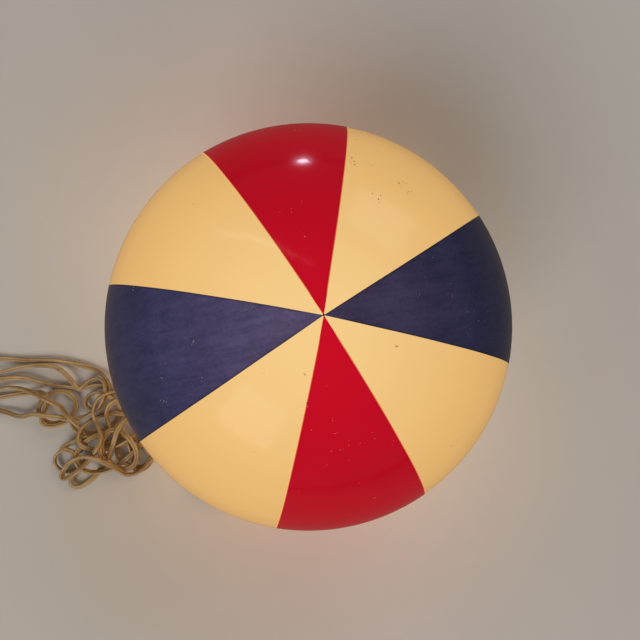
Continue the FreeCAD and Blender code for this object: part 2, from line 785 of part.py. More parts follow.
def cord_tail():
    """Flex from the coil to the back of the plug."""
    middle = PLUG_H / 2
    floor = [plug_point(-PLUG_LENGTH - distance, FLEX_FLOOR_Z) for distance in (38, 20)]
    raised = [plug_point(-PLUG_LENGTH - distance, middle) for distance in (10, 0, -14)]
    return [flat_flex([hank_edge(HANK_LEAVE)] + floor + raised)]


def blade_box(play):
    length, thick, wide = BLADE
    start = -BLADE_ROOT - play
    corner = vec(start, BLADE_SPACING / 2 - thick / 2 - play, PLUG_H / 2 - wide / 2 - play)
    return Part.makeBox(length - start, thick + 2 * play, wide + 2 * play, corner)


def both_sides(shape):
    return [shape, shape.mirror(ORIGIN, Y_AXIS)]


def plug_side(sign):
    """One side of the plug's outline, from its face to its back end."""
    front, back = PLUG_HALF
    bend_x, bend_y = PLUG_BEND
    grip_x = -PLUG_LENGTH + PLUG_GRIP
    bend = (-PLUG_SHOULDER - bend_x, sign * (front - bend_y))
    return [(-PLUG_SHOULDER, sign * front), bend, (grip_x, sign * back), (-PLUG_LENGTH, sign * back)]


def plug_body():
    front = PLUG_HALF[0]
    right = plug_side(-1)
    left = plug_side(1)
    steps = [
        right[0],
        arc(right[1], right[2]),
        right[3],
        left[3],
        left[2],
        arc(left[1], left[0]),
        (0, front),
        (0, -front),
    ]
    block = Part.Face(Part.Wire(edges_of((0, -front), steps, vec))).extrude(vec(0, 0, PLUG_H))
    rims = [edge for edge in block.Edges if abs(edge.CenterOfMass.z - PLUG_H / 2) > 1]
    block = block.makeFillet(PLUG_ROUND, rims)
    depth, half, half_h = PLUG_POCKET
    pocket = Part.makeBox(depth, 2 * half, 2 * half_h, vec(-depth, -half, PLUG_H / 2 - half_h))
    bore = Part.makeCylinder(BUSHING_BORE_R, PLUG_LENGTH, vec(-PLUG_LENGTH, 0, PLUG_H / 2), X_AXIS)
    return [placed_plug(block.cut([pocket, bore]))]


def plug_cover():
    """Insulating plate that closes the front of the plug round the blades."""
    half = PLUG_POCKET[1] - PLUG_COVER_GAP
    half_h = PLUG_POCKET[2] - PLUG_COVER_GAP
    plate = Part.makeBox(PLUG_COVER_T, 2 * half, 2 * half_h, vec(-PLUG_COVER_T, -half, PLUG_H / 2 - half_h))
    return [placed_plug(plate.cut(both_sides(blade_box(SCREW_PLAY))))]


def plug_blades():
    length, thick, _ = BLADE
    blade = blade_box(0)
    tips = [edge for edge in blade.Edges if edge.CenterOfMass.x > length - 0.01 and edge.Length < 1.1 * thick]
    blade = blade.makeFillet(BLADE_ROUND, tips)
    start = BLADE_SPACING / 2 - thick
    hole = Part.makeCylinder(BLADE_HOLE_R, 2 * thick, vec(BLADE_HOLE_X, start, PLUG_H / 2), Y_AXIS)
    tapping_r = BLADE_SCREW_R + SCREW_PLAY
    tapping = Part.makeCylinder(tapping_r, 2 * thick, vec(BLADE_SCREW_X, start, PLUG_H / 2), Y_AXIS)
    return [placed_plug(side) for side in both_sides(blade.cut([hole, tapping]))]


def plug_terminal_screws():
    outer_face = BLADE_SPACING / 2 + BLADE[1] / 2
    head_r, head_h = BLADE_SCREW_HEAD
    low = vec(BLADE_SCREW_X, outer_face - BLADE_SCREW_LENGTH, PLUG_H / 2)
    shank = Part.makeCylinder(BLADE_SCREW_R, BLADE_SCREW_LENGTH, low, Y_AXIS)
    head = Part.makeCylinder(head_r, head_h, vec(BLADE_SCREW_X, outer_face, PLUG_H / 2), Y_AXIS)
    return [placed_plug(side) for side in both_sides(shank.fuse(head).removeSplitter())]


def supply_leads():
    """The flex's two cores, parted inside the drum and led up to the terminals."""
    leads = []
    for side in (-1, 1):
        leads.append(round_wire([(x, side * y, z) for x, y, z in LEAD_ROUTE], LEAD_R))
    return leads


def build_all():
    """Every node's name and its list of solids."""
    makers = [
        base_gasket, base_plate, globe_holder, holder_screws, screw_bosses, neck_gasket,
        crossbar, crossbar_screws, nipple, nipple_locknuts,
        lampholder_cap, lampholder_cap_screws, lampholder_body, lampholder_screw_shell,
        lampholder_centre_contact, terminal_screws, supply_leads,
        cord_bushing, cord_lead, cord_hank, cord_tail,
        plug_body, plug_cover, plug_blades, plug_terminal_screws,
        glass_globe, red_panels, blue_panels,
        bulb_glass, bulb_cap, bulb_insulator, bulb_contact, bulb_stem, bulb_lead_wires, bulb_filament,
    ]
    nodes = {maker.__name__: maker() for maker in makers}
    for number, angle in enumerate(THUMB_ANGLES, start=1):
        nodes[f"thumbscrew_{number}"] = thumbscrew(angle)
        nodes[f"thumbscrew_tip_{number}"] = thumbscrew_tip(angle)
    return nodes


def single_shape(solids):
    return solids[0] if len(solids) == 1 else Part.makeCompound(solids)


os.makedirs("parts", exist_ok=True)
for node, solids in build_all().items():
    single_shape(solids).exportStep(f"parts/{node}.step")
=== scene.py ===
import bmesh
import bpy
import json
import math
import numpy as np
from mathutils import Matrix, Vector

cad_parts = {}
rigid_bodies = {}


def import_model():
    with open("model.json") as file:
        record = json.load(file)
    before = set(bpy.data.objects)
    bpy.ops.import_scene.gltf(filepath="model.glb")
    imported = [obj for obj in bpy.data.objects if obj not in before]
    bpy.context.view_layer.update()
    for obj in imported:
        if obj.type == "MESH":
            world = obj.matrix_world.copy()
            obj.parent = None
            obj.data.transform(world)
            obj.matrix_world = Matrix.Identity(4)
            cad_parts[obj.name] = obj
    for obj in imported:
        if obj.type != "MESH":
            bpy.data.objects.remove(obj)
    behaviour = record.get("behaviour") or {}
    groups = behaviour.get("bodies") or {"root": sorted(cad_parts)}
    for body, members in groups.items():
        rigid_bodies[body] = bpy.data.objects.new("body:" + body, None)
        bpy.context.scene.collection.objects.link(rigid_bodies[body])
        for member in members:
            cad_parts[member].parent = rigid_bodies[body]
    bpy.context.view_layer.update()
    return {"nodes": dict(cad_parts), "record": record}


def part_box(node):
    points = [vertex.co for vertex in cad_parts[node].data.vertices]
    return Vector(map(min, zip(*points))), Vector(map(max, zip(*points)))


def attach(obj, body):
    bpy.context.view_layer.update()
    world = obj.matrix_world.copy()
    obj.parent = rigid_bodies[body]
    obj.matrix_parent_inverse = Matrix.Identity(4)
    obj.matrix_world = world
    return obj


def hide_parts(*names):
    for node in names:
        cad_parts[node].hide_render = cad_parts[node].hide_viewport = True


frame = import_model()

# ---------------------------------------------------------------- driving values (metres, degrees)

MM = 0.001
SEED = 11

globe_low, globe_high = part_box("glass_globe")
GLOBE_R = 127.0 * MM
GLOBE_Z = globe_high.z - GLOBE_R
GLOBE_WALL = 4.0 * MM
RIM_Z = globe_low.z
NECK_R = 46.0 * MM
NECK_COVE = 8.0 * MM
BEAD_R = 49.0 * MM
BEAD_H = 6.0 * MM
BEAD_ROUND = 1.5 * MM
GLOBE_SEGMENTS = 256

# The painted gores: which way each one is centred, how wide it was masked,
# and how bright its glow is: painted light and shade, stronger on the gores that lie nearer the lamp
RED_GORES = ((90.0, 42.8, 0.97), (269.1, 43.6, 1.05))
BLUE_GORES = ((-1.5, 44.9, 0.58), (180.0, 44.7, 1.0))
# The paint's first and last angle from the pole, its thickness, and the gap that keeps it off the glass
PAINT_TIP = 0.05
PAINT_END = 150.0
PAINT_T = 0.12 * MM
PAINT_GAP = 0.004 * MM
# How far the masked edges waver, and how near the pole they run straight
EDGE_WAVER = 0.25 * MM
STRAIGHT_TIP = 20.0 * MM
# Nearer the pole than this, the lighter and darker lines along the edges fade out
POLE_BLEND = 12.0 * MM
FILM_ROWS = 150
FILM_COLUMNS = 36

# Camera: close to the ball and almost on its axis
LENS_MM = 28.1
SENSOR_MM = 36.0
CAMERA_RADII = 2.65
AXIS_TO_RIGHT = 2.6
AXIS_TO_TOP = 2.05
IMAGE_UP = 77.9
AIM_RIGHT = 0.020
AIM_UP = 0.012

# Flex: two cores side by side
FLEX_W = 4.8 * MM
FLEX_T = 2.7 * MM
FLEX_STEP = 1.8 * MM
# Height of its middle where it lies flat, in millimetres
FLEX_LOW = 1.5
# How much of it at each end is not slack, and the length over which the slack sets in
LEAD_LENGTH = 90.0 * MM
TAIL_LENGTH = 45.0 * MM
SLACK_START = 30.0 * MM
# Lengths over which the slack twists, springs up, bridges what it lies on, bends, and rounds its corners
TWIST_LENGTH = 48.0 * MM
SPRING_LENGTH = 40.0 * MM
BRIDGE_LENGTH = 6.0 * MM
BEND_LENGTH = 4.5 * MM
CORNER_LENGTH = 4.0 * MM
# Stretches nearer than this along the flex do not count as lying on each other
SAME_STRETCH = 18.0 * MM
STACKING_PASSES = 14

# Plug on the flex: which way its blades point, and the length of its body
PLUG_ANGLE = -12.0
PLUG_LENGTH = 36.0 * MM

# Thumbscrews: number 8-32, with a round spade head behind a collar; nose and collar are (radius, length)
SCREW_CREST = 2.08 * MM
SCREW_ROOT = 1.68 * MM
SCREW_PITCH = 0.794 * MM
SCREW_NOSE = (0.9 * MM, 1.4 * MM)
SCREW_COLLAR = (3.5 * MM, 1.6 * MM)
SCREW_SIDES = 40
# Plain neck between thread and collar, and the gap from collar to head
SCREW_NECK = 0.8 * MM
SPADE_GAP = 0.6 * MM
SPADE_R = 6.5 * MM
SPADE_T = 2.6 * MM
SPADE_DISH = 0.35 * MM
SPADE_SIDES = 64


def unit(degrees):
    """Unit vector in the floor plane towards a compass angle."""
    angle = math.radians(degrees)
    return Vector((math.cos(angle), math.sin(angle), 0.0))


def box_middle(node):
    """Middle of a CAD node's box."""
    low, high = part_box(node)
    return (low + high) / 2


IMAGE_UP_DIR = unit(IMAGE_UP)
IMAGE_RIGHT_DIR = unit(IMAGE_UP - 90.0)


# ---------------------------------------------------------------- shader helpers

class Shader:
    """One material's node tree, with short calls for the nodes used here."""

    def __init__(self, name):
        self.material = bpy.data.materials.new(name)
        self.material.use_nodes = True
        self.nodes = self.material.node_tree.nodes
        self.links = self.material.node_tree.links
        self.bsdf = self.nodes["Principled BSDF"]
        self.coords = self.nodes.new("ShaderNodeTexCoord").outputs["Object"]

    def feed(self, socket, value):
        """Links an output to a socket, or sets the socket's own value."""
        if isinstance(value, bpy.types.NodeSocket):
            self.links.new(value, socket)
        elif isinstance(value, (tuple, list)) and len(value) == 3 and socket.type == "RGBA":
            socket.default_value = (*value, 1.0)
        else:
            socket.default_value = value

    def set(self, **inputs):
        """Feeds Principled inputs by name, with underscores for spaces."""
        for key, value in inputs.items():
            self.feed(self.bsdf.inputs[key.replace("_", " ")], value)

    def math(self, operation, *values):
        node = self.nodes.new("ShaderNodeMath")
        node.operation = operation
        for socket, value in zip(node.inputs, values):
            self.feed(socket, value)
        return node.outputs[0]

    def noise(self, scale, detail, rough=0.5, coords=None):
        node = self.nodes.new("ShaderNodeTexNoise")
        self.feed(node.inputs["Vector"], coords or self.coords)
        node.inputs["Scale"].default_value = scale
        node.inputs["Detail"].default_value = detail
        node.inputs["Roughness"].default_value = rough
        return node.outputs["Fac"]

    def voronoi(self, scale):
        """Distance to the nearest of many scattered points."""
        node = self.nodes.new("ShaderNodeTexVoronoi")
        self.feed(node.inputs["Vector"], self.coords)
        node.inputs["Scale"].default_value = scale
        return node.outputs["Distance"]

    def stretch(self, scale):
        """Coordinates scaled by a different amount on each axis."""
        node = self.nodes.new("ShaderNodeMapping")
        self.feed(node.inputs["Vector"], self.coords)
        node.inputs["Scale"].default_value = scale
        return node.outputs[0]

    def spread(self, value, low, high, to_low=0.0, to_high=1.0):
        """Maps low..high to to_low..to_high and clamps."""
        node = self.nodes.new("ShaderNodeMapRange")
        for name, number in zip(("Value", "From Min", "From Max", "To Min", "To Max"),
                                (value, low, high, to_low, to_high)):
            self.feed(node.inputs[name], number)
        return node.outputs[0]

    def mix(self, share, first, second, blend="MIX"):
        node = self.nodes.new("ShaderNodeMix")
        node.data_type = "RGBA"
        node.blend_type = blend
        self.feed(node.inputs[0], share)
        self.feed(node.inputs[6], first)
        self.feed(node.inputs[7], second)
        return node.outputs[2]

    def ramp(self, value, *stops):
        """Colour ramp through (place, colour) stops."""
        node = self.nodes.new("ShaderNodeValToRGB")
        elements = node.color_ramp.elements
        while len(elements) < len(stops):
            elements.new(0.5)
        for element, (place, colour) in zip(elements, stops):
            element.position = place
            element.color = (*colour, 1.0)
        self.feed(node.inputs[0], value)
        return node.outputs[0]

    def bump(self, height, distance, strength):
        node = self.nodes.new("ShaderNodeBump")
        node.inputs["Strength"].default_value = strength
        node.inputs["Distance"].default_value = distance
        self.feed(node.inputs["Height"], height)
        return node.outputs[0]

    def attribute(self, name):
        node = self.nodes.new("ShaderNodeAttribute")
        node.attribute_name = name
        return node.outputs["Fac"]

    def ray_is(self, kind):
        """1 for rays of this kind, such as Camera or Glossy, and 0 for others."""
        return self.nodes.new("ShaderNodeLightPath").outputs[f"Is {kind} Ray"]

    def facing(self):
        """1 where the surface faces the viewer, 0 at its outline."""
        node = self.nodes.new("ShaderNodeLayerWeight")
        node.inputs["Blend"].default_value = 0.5
        return self.math("SUBTRACT", 1.0, node.outputs["Facing"])

    def gloss(self):
        """Specular level: lower towards the outline, so that the pale floor hardly shows in the glass."""
        return self.spread(self.facing(), 0.05, 0.60, 0.03, 0.4)

    def height(self):
        node = self.nodes.new("ShaderNodeSeparateXYZ")
        self.feed(node.inputs[0], self.coords)
        return node.outputs[2]


# ---------------------------------------------------------------- mesh helpers

def add_object(name, verts, faces, material, smooth=True):
    mesh = bpy.data.meshes.new(name)
    mesh.from_pydata([tuple(v) for v in verts], [], faces)
    mesh.validate()
    mesh.update()
    if smooth:
        mesh.polygons.foreach_set("use_smooth", [True] * len(mesh.polygons))
    obj = bpy.data.objects.new(name, mesh)
    bpy.context.scene.collection.objects.link(obj)
    mesh.materials.append(material)
    return obj


def ring_faces(rings):
    """Faces between neighbouring rings of vertices; a ring that repeats one vertex closes to a point."""
    faces = []
    for here, there in zip(rings, rings[1:]):
        for k in range(len(here)):
            m = (k + 1) % len(here)
            face = tuple(dict.fromkeys((here[k], here[m], there[m], there[k])))
            if len(face) > 2:
                faces.append(face)
    return faces


def turned(profile, sides):
    """Vertices and rings of a shape turned about Z from (radius, z); a radius may depend on the angle."""
    verts, rings = [], []
    for radius, z in profile:
        first = len(verts)
        around = 1 if radius == 0.0 else sides
        for k in range(around):
            angle = 2 * math.pi * k / sides
            r = radius(angle) if callable(radius) else radius
            verts.append((r * math.cos(angle), r * math.sin(angle), z))
        rings.append([first + k % around for k in range(sides)])
    return verts, rings


def moved_faces(faces, offset):
    """Faces for vertices that come after offset others in one mesh."""
    return [tuple(index + offset for index in face) for face in faces]


def point_values(obj, name, values):
    """Stores a number at each vertex, for the material to read."""
    obj.data.attributes.new(name, "FLOAT", "POINT").data.foreach_set("value", values)


def arc_points(centre, radius, start, end, count):
    """Points round an arc in the outline plane, both ends included."""
    points = []
    for i in range(count + 1):
        angle = math.radians(start + (end - start) * i / count)
        points.append((centre[0] + radius * math.cos(angle), centre[1] + radius * math.sin(angle)))
    return points


def fix_normals(obj):
    """Makes the faces of a closed mesh point outwards."""
    work = bmesh.new()
    work.from_mesh(obj.data)
    bmesh.ops.recalc_face_normals(work, faces=work.faces)
    work.to_mesh(obj.data)
    work.free()


# ---------------------------------------------------------------- globe

# Light that comes through the wall, from the outline (0) to where the wall faces the viewer (1)
CREAM_LIGHT = ((0.0, (0.36, 0.205, 0.086)), (0.12, (0.56, 0.320, 0.109)), (0.30, (0.69, 0.405, 0.134)),
               (0.60, (0.78, 0.470, 0.164)), (0.85, (0.84, 0.534, 0.205)), (1.0, (0.90, 0.594, 0.244)))
RED_LIGHT = ((0.0, (0.20, 0.004, 0.008)), (0.12, (0.28, 0.002, 0.008)), (0.30, (0.37, 0.001, 0.0095)),
             (0.60, (0.42, 0.001, 0.0110)), (0.85, (0.49, 0.001, 0.0130)), (1.0, (0.555, 0.0015, 0.015)))
BLUE_LIGHT = ((0.0, (0.025, 0.018, 0.024)), (0.25, (0.022, 0.021, 0.047)), (0.50, (0.026, 0.026, 0.067)),
              (0.72, (0.043, 0.038, 0.094)), (0.87, (0.063, 0.050, 0.118)), (1.0, (0.080, 0.062, 0.130)))
# The lamp hangs a little off the axis, so the glass is brighter towards one side
LAMP_SIDE = (-0.045, -0.045)
# How much stronger the ball lights its surroundings than it looks to the camera
LIGHT_THROWN = 3.5


def through_light(s, stops):
    """Colour of the light through the wall, by how squarely the wall is seen and which side it is on."""
    glow = s.ramp(s.facing(), *stops)
    parts = s.nodes.new("ShaderNodeSeparateXYZ")
    s.feed(parts.inputs[0], s.coords)
    gain = 1.0
    for output, slope in zip(parts.outputs, LAMP_SIDE):
        gain = s.math("ADD", gain, s.math("MULTIPLY", output, slope / GLOBE_R))
    thrown = s.spread(s.ray_is("Camera"), 0.0, 1.0, LIGHT_THROWN, 1.0)
    return glow, s.math("MULTIPLY", gain, thrown)


def tinted(s, share, glow, factor):
    """Glow multiplied by a colour factor where share is 1."""
    return s.mix(share, glow, s.mix(1.0, glow, factor, "MULTIPLY"))


def opal_material():
    s = Shader("opal_glass")
    glow, gain = through_light(s, CREAM_LIGHT)
    cloudy = s.spread(s.noise(13.0, 3.0, 0.5), 0.3, 0.7, 0.0, 1.0)
    glow = tinted(s, cloudy, glow, (0.972, 0.965, 0.95))
    # faint pepper marks all over, in loose patches
    pepper = s.spread(s.voronoi(150.0), 0.05, 0.11, 1.0, 0.0)
    rare = s.spread(s.noise(19.0, 1.0), 0.61, 0.65, 0.0, 1.0)
    marks = s.math("MULTIPLY", pepper, rare)
    glow = tinted(s, marks, glow, (0.45, 0.36, 0.30))
    shade = s.spread(s.height(), RIM_Z, RIM_Z + 0.03, 0.55, 1.0)
    ripple = s.noise(26.0, 2.0, 0.5)
    s.set(Base_Color=(0.17, 0.115, 0.065), Roughness=0.13, IOR=1.5, Specular_IOR_Level=s.gloss(),
          Emission_Color=glow, Emission_Strength=s.math("MULTIPLY", gain, shade),
          Normal=s.bump(ripple, 0.0006, 0.2))
    return s.material


def paint_edges(s, width_mm):
    """1 in a thin band along a film's masked edge."""
    return s.spread(s.attribute("edge_mm"), 0.0, width_mm, 1.0, 0.0)


def chips(s, scale, radius, patch):
    """Sparse pinholes in a film, gathered in patches."""
    dots = s.spread(s.voronoi(scale), radius * 0.6, radius, 1.0, 0.0)
    where = s.spread(s.noise(23.0, 2.0, 0.6), patch, patch + 0.05, 0.0, 1.0)
    return s.math("MULTIPLY", dots, where)


def red_material():
    s = Shader("red_enamel")
    glow, gain = through_light(s, RED_LIGHT)
    streak = s.spread(s.noise(12.0, 5.0, 0.6), 0.3, 0.7, 0.0, 1.0)
    glow = tinted(s, streak, glow, (0.93, 0.9, 0.9))
    fringe = s.math("MULTIPLY", paint_edges(s, 0.55), 0.85)
    glow = s.mix(fringe, glow, (0.92, 0.33, 0.12))
    dark_line = s.math("MULTIPLY", s.math("SUBTRACT", paint_edges(s, 1.6), paint_edges(s, 0.7)), 0.5)
    glow = tinted(s, dark_line, glow, (0.62, 0.6, 0.6))
    glow = s.mix(s.math("MULTIPLY", chips(s, 260.0, 0.10, 0.63), 0.7), glow, (0.90, 0.30, 0.10))
    scuffs = chips(s, 120.0, 0.07, 0.60)
    glow = tinted(s, scuffs, glow, (0.35, 0.4, 0.4))
    # each gore's own brightness from its table entry: painted light and shade, brighter on the side nearer
    # the lamp
    gain = s.math("MULTIPLY", gain, s.attribute("light"))
    ripple = s.noise(30.0, 3.0, 0.6)
    s.set(Base_Color=(0.16, 0.002, 0.006), Roughness=0.13, IOR=1.5, Specular_IOR_Level=s.gloss(),
          Emission_Color=glow, Emission_Strength=gain, Normal=s.bump(ripple, 0.0006, 0.25))
    return s.material


def blue_material():
    s = Shader("blue_enamel")
    glow, gain = through_light(s, BLUE_LIGHT)
    fine = s.noise(520.0, 3.0, 0.65)
    brushed = s.noise(34.0, 5.0, 0.65, coords=s.stretch((1.0, 6.0, 1.0)))
    strokes = s.noise(120.0, 3.0, 0.6, coords=s.stretch((0.5, 4.0, 1.0)))
    mottle = s.math("ADD", s.math("MULTIPLY", fine, 0.34), s.math("MULTIPLY", brushed, 0.33))
    mottle = s.spread(s.math("ADD", mottle, s.math("MULTIPLY", strokes, 0.33)), 0.40, 0.60)
    glow = tinted(s, mottle, glow, (0.66, 0.68, 0.74))
    blotches = s.spread(s.noise(48.0, 4.0, 0.6), 0.35, 0.65)
    uneven = s.ramp(blotches, (0.0, (1.02, 0.98, 0.96)), (1.0, (1.32, 1.26, 1.20)))
    glow = s.mix(1.0, glow, uneven, "MULTIPLY")
    dark_line = s.math("MULTIPLY", paint_edges(s, 1.2), 0.75)
    glow = tinted(s, dark_line, glow, (0.35, 0.30, 0.25))
    glow = s.mix(s.math("MULTIPLY", chips(s, 230.0, 0.13, 0.59), 0.8), glow, (0.62, 0.36, 0.16))
    # each gore's own brightness from its table entry: painted light and shade, brighter on the side nearer
    # the lamp
    gain = s.math("MULTIPLY", gain, s.attribute("light"))
    s.set(Base_Color=(0.010, 0.010, 0.022), Roughness=0.16, IOR=1.5, Specular_IOR_Level=s.gloss(),
          Emission_Color=glow, Emission_Strength=gain, Normal=s.bump(mottle, 0.00012, 0.3))
    return s.material


def build_globe():
    """The opal ball with its neck, rim bead and open mouth, as one closed wall of glass."""
    rise = math.sqrt((GLOBE_R + NECK_COVE) ** 2 - (NECK_R + NECK_COVE) ** 2)
    cove = (NECK_R + NECK_COVE, GLOBE_Z - rise)
    meet = math.degrees(math.atan2(rise, -cove[0]))
    ball_start = math.degrees(math.atan2(-rise, cove[0]))
    shoulder = BEAD_R - BEAD_ROUND
    bead_top = RIM_Z + BEAD_H
    inner_neck = NECK_R - GLOBE_WALL
    outline = [(inner_neck, RIM_Z + 0.5 * MM), (inner_neck + 0.5 * MM, RIM_Z)]
    outline += arc_points((shoulder, RIM_Z + BEAD_ROUND), BEAD_ROUND, -90, 0, 6)
    outline += arc_points((shoulder, bead_top - BEAD_ROUND), BEAD_ROUND, 0, 90, 6)
    outline += [(NECK_R + 0.3 * MM, bead_top + 0.5 * MM), (NECK_R, bead_top + 1.2 * MM)]
    outline += arc_points(cove, NECK_COVE, 180, meet, 10)
    outline += arc_points((0, GLOBE_Z), GLOBE_R, ball_start, 90, 150)[1:-1]
    outline.append((0.0, GLOBE_Z + GLOBE_R))
    outline.append((0.0, GLOBE_Z + GLOBE_R - GLOBE_WALL))
    outline += arc_points((0, GLOBE_Z), GLOBE_R - GLOBE_WALL, 90, ball_start, 60)[1:]
    outline += arc_points(cove, NECK_COVE + GLOBE_WALL, meet, 180, 8)[1:]
    verts, rings = turned(outline, GLOBE_SEGMENTS)
    globe = add_object("globe", verts, ring_faces(rings + rings[:1]), opal_material())
    fix_normals(globe)
    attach(globe, "globe")
    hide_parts("glass_globe")


def wander(seed, amplitude, length):
    """Smooth hand-made waver along an edge: a few slow sines, with its size in metres."""
    rng = np.random.default_rng(seed)
    waves = [(rng.uniform(0.6, 1.4) * 2 * math.pi * n / length, rng.uniform(0, 6.28), 1.0 / n)
             for n in (1, 2, 4, 7)]
    total = sum(weight for _, _, weight in waves)

    def at(distance):
        return amplitude * sum(w * math.sin(k * distance + phase) for k, phase, w in waves) / total
    return at


def film_solid(centre, span, seed):
    """Vertices, faces and edge distances of one painted gore: a thin closed film on the ball."""
    rows, columns = FILM_ROWS, FILM_COLUMNS
    arc_length = GLOBE_R * math.radians(PAINT_END)
    waver = [wander(seed + side, EDGE_WAVER, arc_length) for side in (0, 1)]
    sheets, edge = [], []
    for radius in (GLOBE_R + PAINT_T, GLOBE_R + PAINT_GAP):
        sheet = []
        for i in range(rows + 1):
            # closer rows near the pole
            share = (i / rows) ** 1.15
            polar = math.radians(PAINT_TIP + (PAINT_END - PAINT_TIP) * share)
            ring = GLOBE_R * math.sin(polar)
            along = GLOBE_R * polar
            half = math.radians(span / 2)
            grow = min(1.0, along / STRAIGHT_TIP)
            low = -half + grow * waver[0](along) / ring
            high = half + grow * waver[1](along) / ring
            for j in range(columns + 1):
                # closer columns near the masked edges
                t = 0.5 - 0.5 * math.cos(math.pi * j / columns)
                azimuth = math.radians(centre) + low + (high - low) * t
                sheet.append((radius * math.sin(polar) * math.cos(azimuth),
                              radius * math.sin(polar) * math.sin(azimuth),
                              GLOBE_Z + radius * math.cos(polar)))
                near_pole = max(0.0, 1.0 - along / POLE_BLEND)
                edge.append(min(t, 1 - t) * (high - low) * ring / MM + near_pole)
        sheets.append(sheet)
    verts = sheets[0] + sheets[1]
    wide = columns + 1
    under = len(sheets[0])
    faces = []
    for i in range(rows):
        for j in range(columns):
            a = i * wide + j
            faces.append((a, a + wide, a + wide + 1, a + 1))
            faces.append((under + a, under + a + 1, under + a + wide + 1, under + a + wide))
    rim = list(range(columns))
    rim += [columns + i * wide for i in range(rows)]
    rim += [rows * wide + j for j in range(columns, 0, -1)]
    rim += [i * wide for i in range(rows, 0, -1)]
    for here, there in zip(rim, rim[1:] + rim[:1]):
        faces.append((here, there, under + there, under + here))
    return verts, faces, edge


def build_films(name, gores, material, cad_node, seed):
    """Both gores of one colour as one object, with each point's distance to the film's edge."""
    verts, faces, edges, lights = [], [], [], []
    for number, (centre, span, light) in enumerate(gores):
        v, f, e = film_solid(centre, span, seed + 10 * number)
        faces += moved_faces(f, len(verts))
        verts += v
        edges += e
        lights += [light] * len(v)
    films = add_object(name, verts, faces, material)
    fix_normals(films)
    point_values(films, "edge_mm", edges)
    point_values(films, "light", lights)
    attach(films, "globe")
    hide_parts(cad_node)


# ---------------------------------------------------------------- small marks on the ball

# Groups of marks: compass angle, angle from the pole, how many, their spread and their size in millimetres
PEPPER = (
    (66, 38, 7, 1.6, 0.8), (60, 38, 3, 1.0, 0.6), (53, 29, 4, 1.4, 0.8), (47, 37, 6, 1.8, 0.7),
    (43, 36, 4, 1.2, 0.8), (-34, 16, 1, 0.1, 1.2), (-119, 12, 1, 0.1, 0.8), (-50, 48, 2, 2.5, 0.6),
    (135, 52, 2, 3.0, 0.6), (222, 60, 3, 3.0, 0.7),
)
PINHOLES = (
    (163, 14, 8, 1.2, 0.42), (167, 16, 3, 1.2, 0.35), (167, 12, 2, 0.5, 0.35), (198, 15, 8, 1.0, 0.42),
    (197, 28, 6, 1.2, 0.45), (196, 31, 3, 1.2, 0.35), (196, 40, 11, 1.3, 0.5), (188, 38, 4, 0.8, 0.45),
    (187, 24, 2, 0.6, 0.35), (181, 27, 2, 1.5, 0.3), (182, 10, 1, 0.4, 0.35), (159, 46, 5, 0.7, 0.5),
    (178, 62, 5, 3.0, 0.5), (0, 20, 5, 1.0, 0.45), (-3, 29, 3, 0.8, 0.4), (-16, 34, 3, 0.8, 0.4),
    (5, 11, 2, 0.5, 0.3), (-8, 36, 6, 9.0, 0.35), (6, 27, 5, 9.0, 0.3), (185, 33, 8, 14.0, 0.3),
    (175, 20, 6, 8.0, 0.3), (10, 70, 5, 2.5, 0.5),
)
RED_SPECKS = (
    (259, 14, 2, 0.9, 0.4), (263, 21, 3, 0.5, 0.4), (252, 23, 1, 0.2, 0.5), (265, 24, 3, 1.2, 0.35),
    (268, 27, 5, 1.8, 0.3), (259, 32, 2, 0.8, 0.4), (288, 31, 2, 1.0, 0.35), (272, 34, 8, 12.0, 0.3),
    (91, 16, 1, 0.2, 0.6), (95, 20, 6, 8.0, 0.3), (84, 52, 3, 2.0, 0.5), (275, 46, 3, 2.2, 0.5),
)
# Covers the point where the tips of the stripes run together
POLE_DAB = ((0, 0, 1, 0.0, 2.3),)
# Each kind of mark: name, groups, thickness of the film it lies on, slot, dark and light colour,
# how much of the lamp's light comes through, roughness
MARKS = (
    ("pepper_marks", PEPPER, 0.0, "opal_glass", (0.13, 0.075, 0.03), (0.34, 0.20, 0.085), 0.7, 0.3),
    ("blue_pinholes", PINHOLES, PAINT_T, "blue_enamel", (0.20, 0.13, 0.09), (0.42, 0.30, 0.21), 0.6, 0.5),
    ("red_specks", RED_SPECKS, PAINT_T, "red_enamel", (0.55, 0.10, 0.05), (0.75, 0.35, 0.22), 0.8, 0.5),
    ("pole_dab", POLE_DAB, PAINT_T, "red_enamel", (0.10, 0.01, 0.02), (0.16, 0.02, 0.03), 0.5, 0.3),
)
MARK_SEED = SEED + 90
MARK_CORNERS = 9
MARK_H = 0.06 * MM
MARK_SUNK = 0.05 * MM


def mark_solid(place, east, south, base_r, size, squeeze, rng):
    """Vertices and faces of one small closed blob on the ball, with a ragged outline."""
    rim = []
    for k in range(MARK_CORNERS):
        angle = 2 * math.pi * k / MARK_CORNERS
        reach = size / 2 * rng.uniform(0.75, 1.25)
        rim.append(place + east * math.cos(angle) * reach + south * math.sin(angle) * reach * squeeze)
    middle = Vector((0, 0, GLOBE_Z))
    verts, rings = [], []
    for points, height in (([place], -MARK_SUNK), (rim, -MARK_SUNK), (rim, MARK_H * 0.4), ([place], MARK_H)):
        rings.append([len(verts) + k % len(points) for k in range(MARK_CORNERS)])
        verts += [point.normalized() * (base_r + height) + middle for point in points]
    return verts, ring_faces(rings)


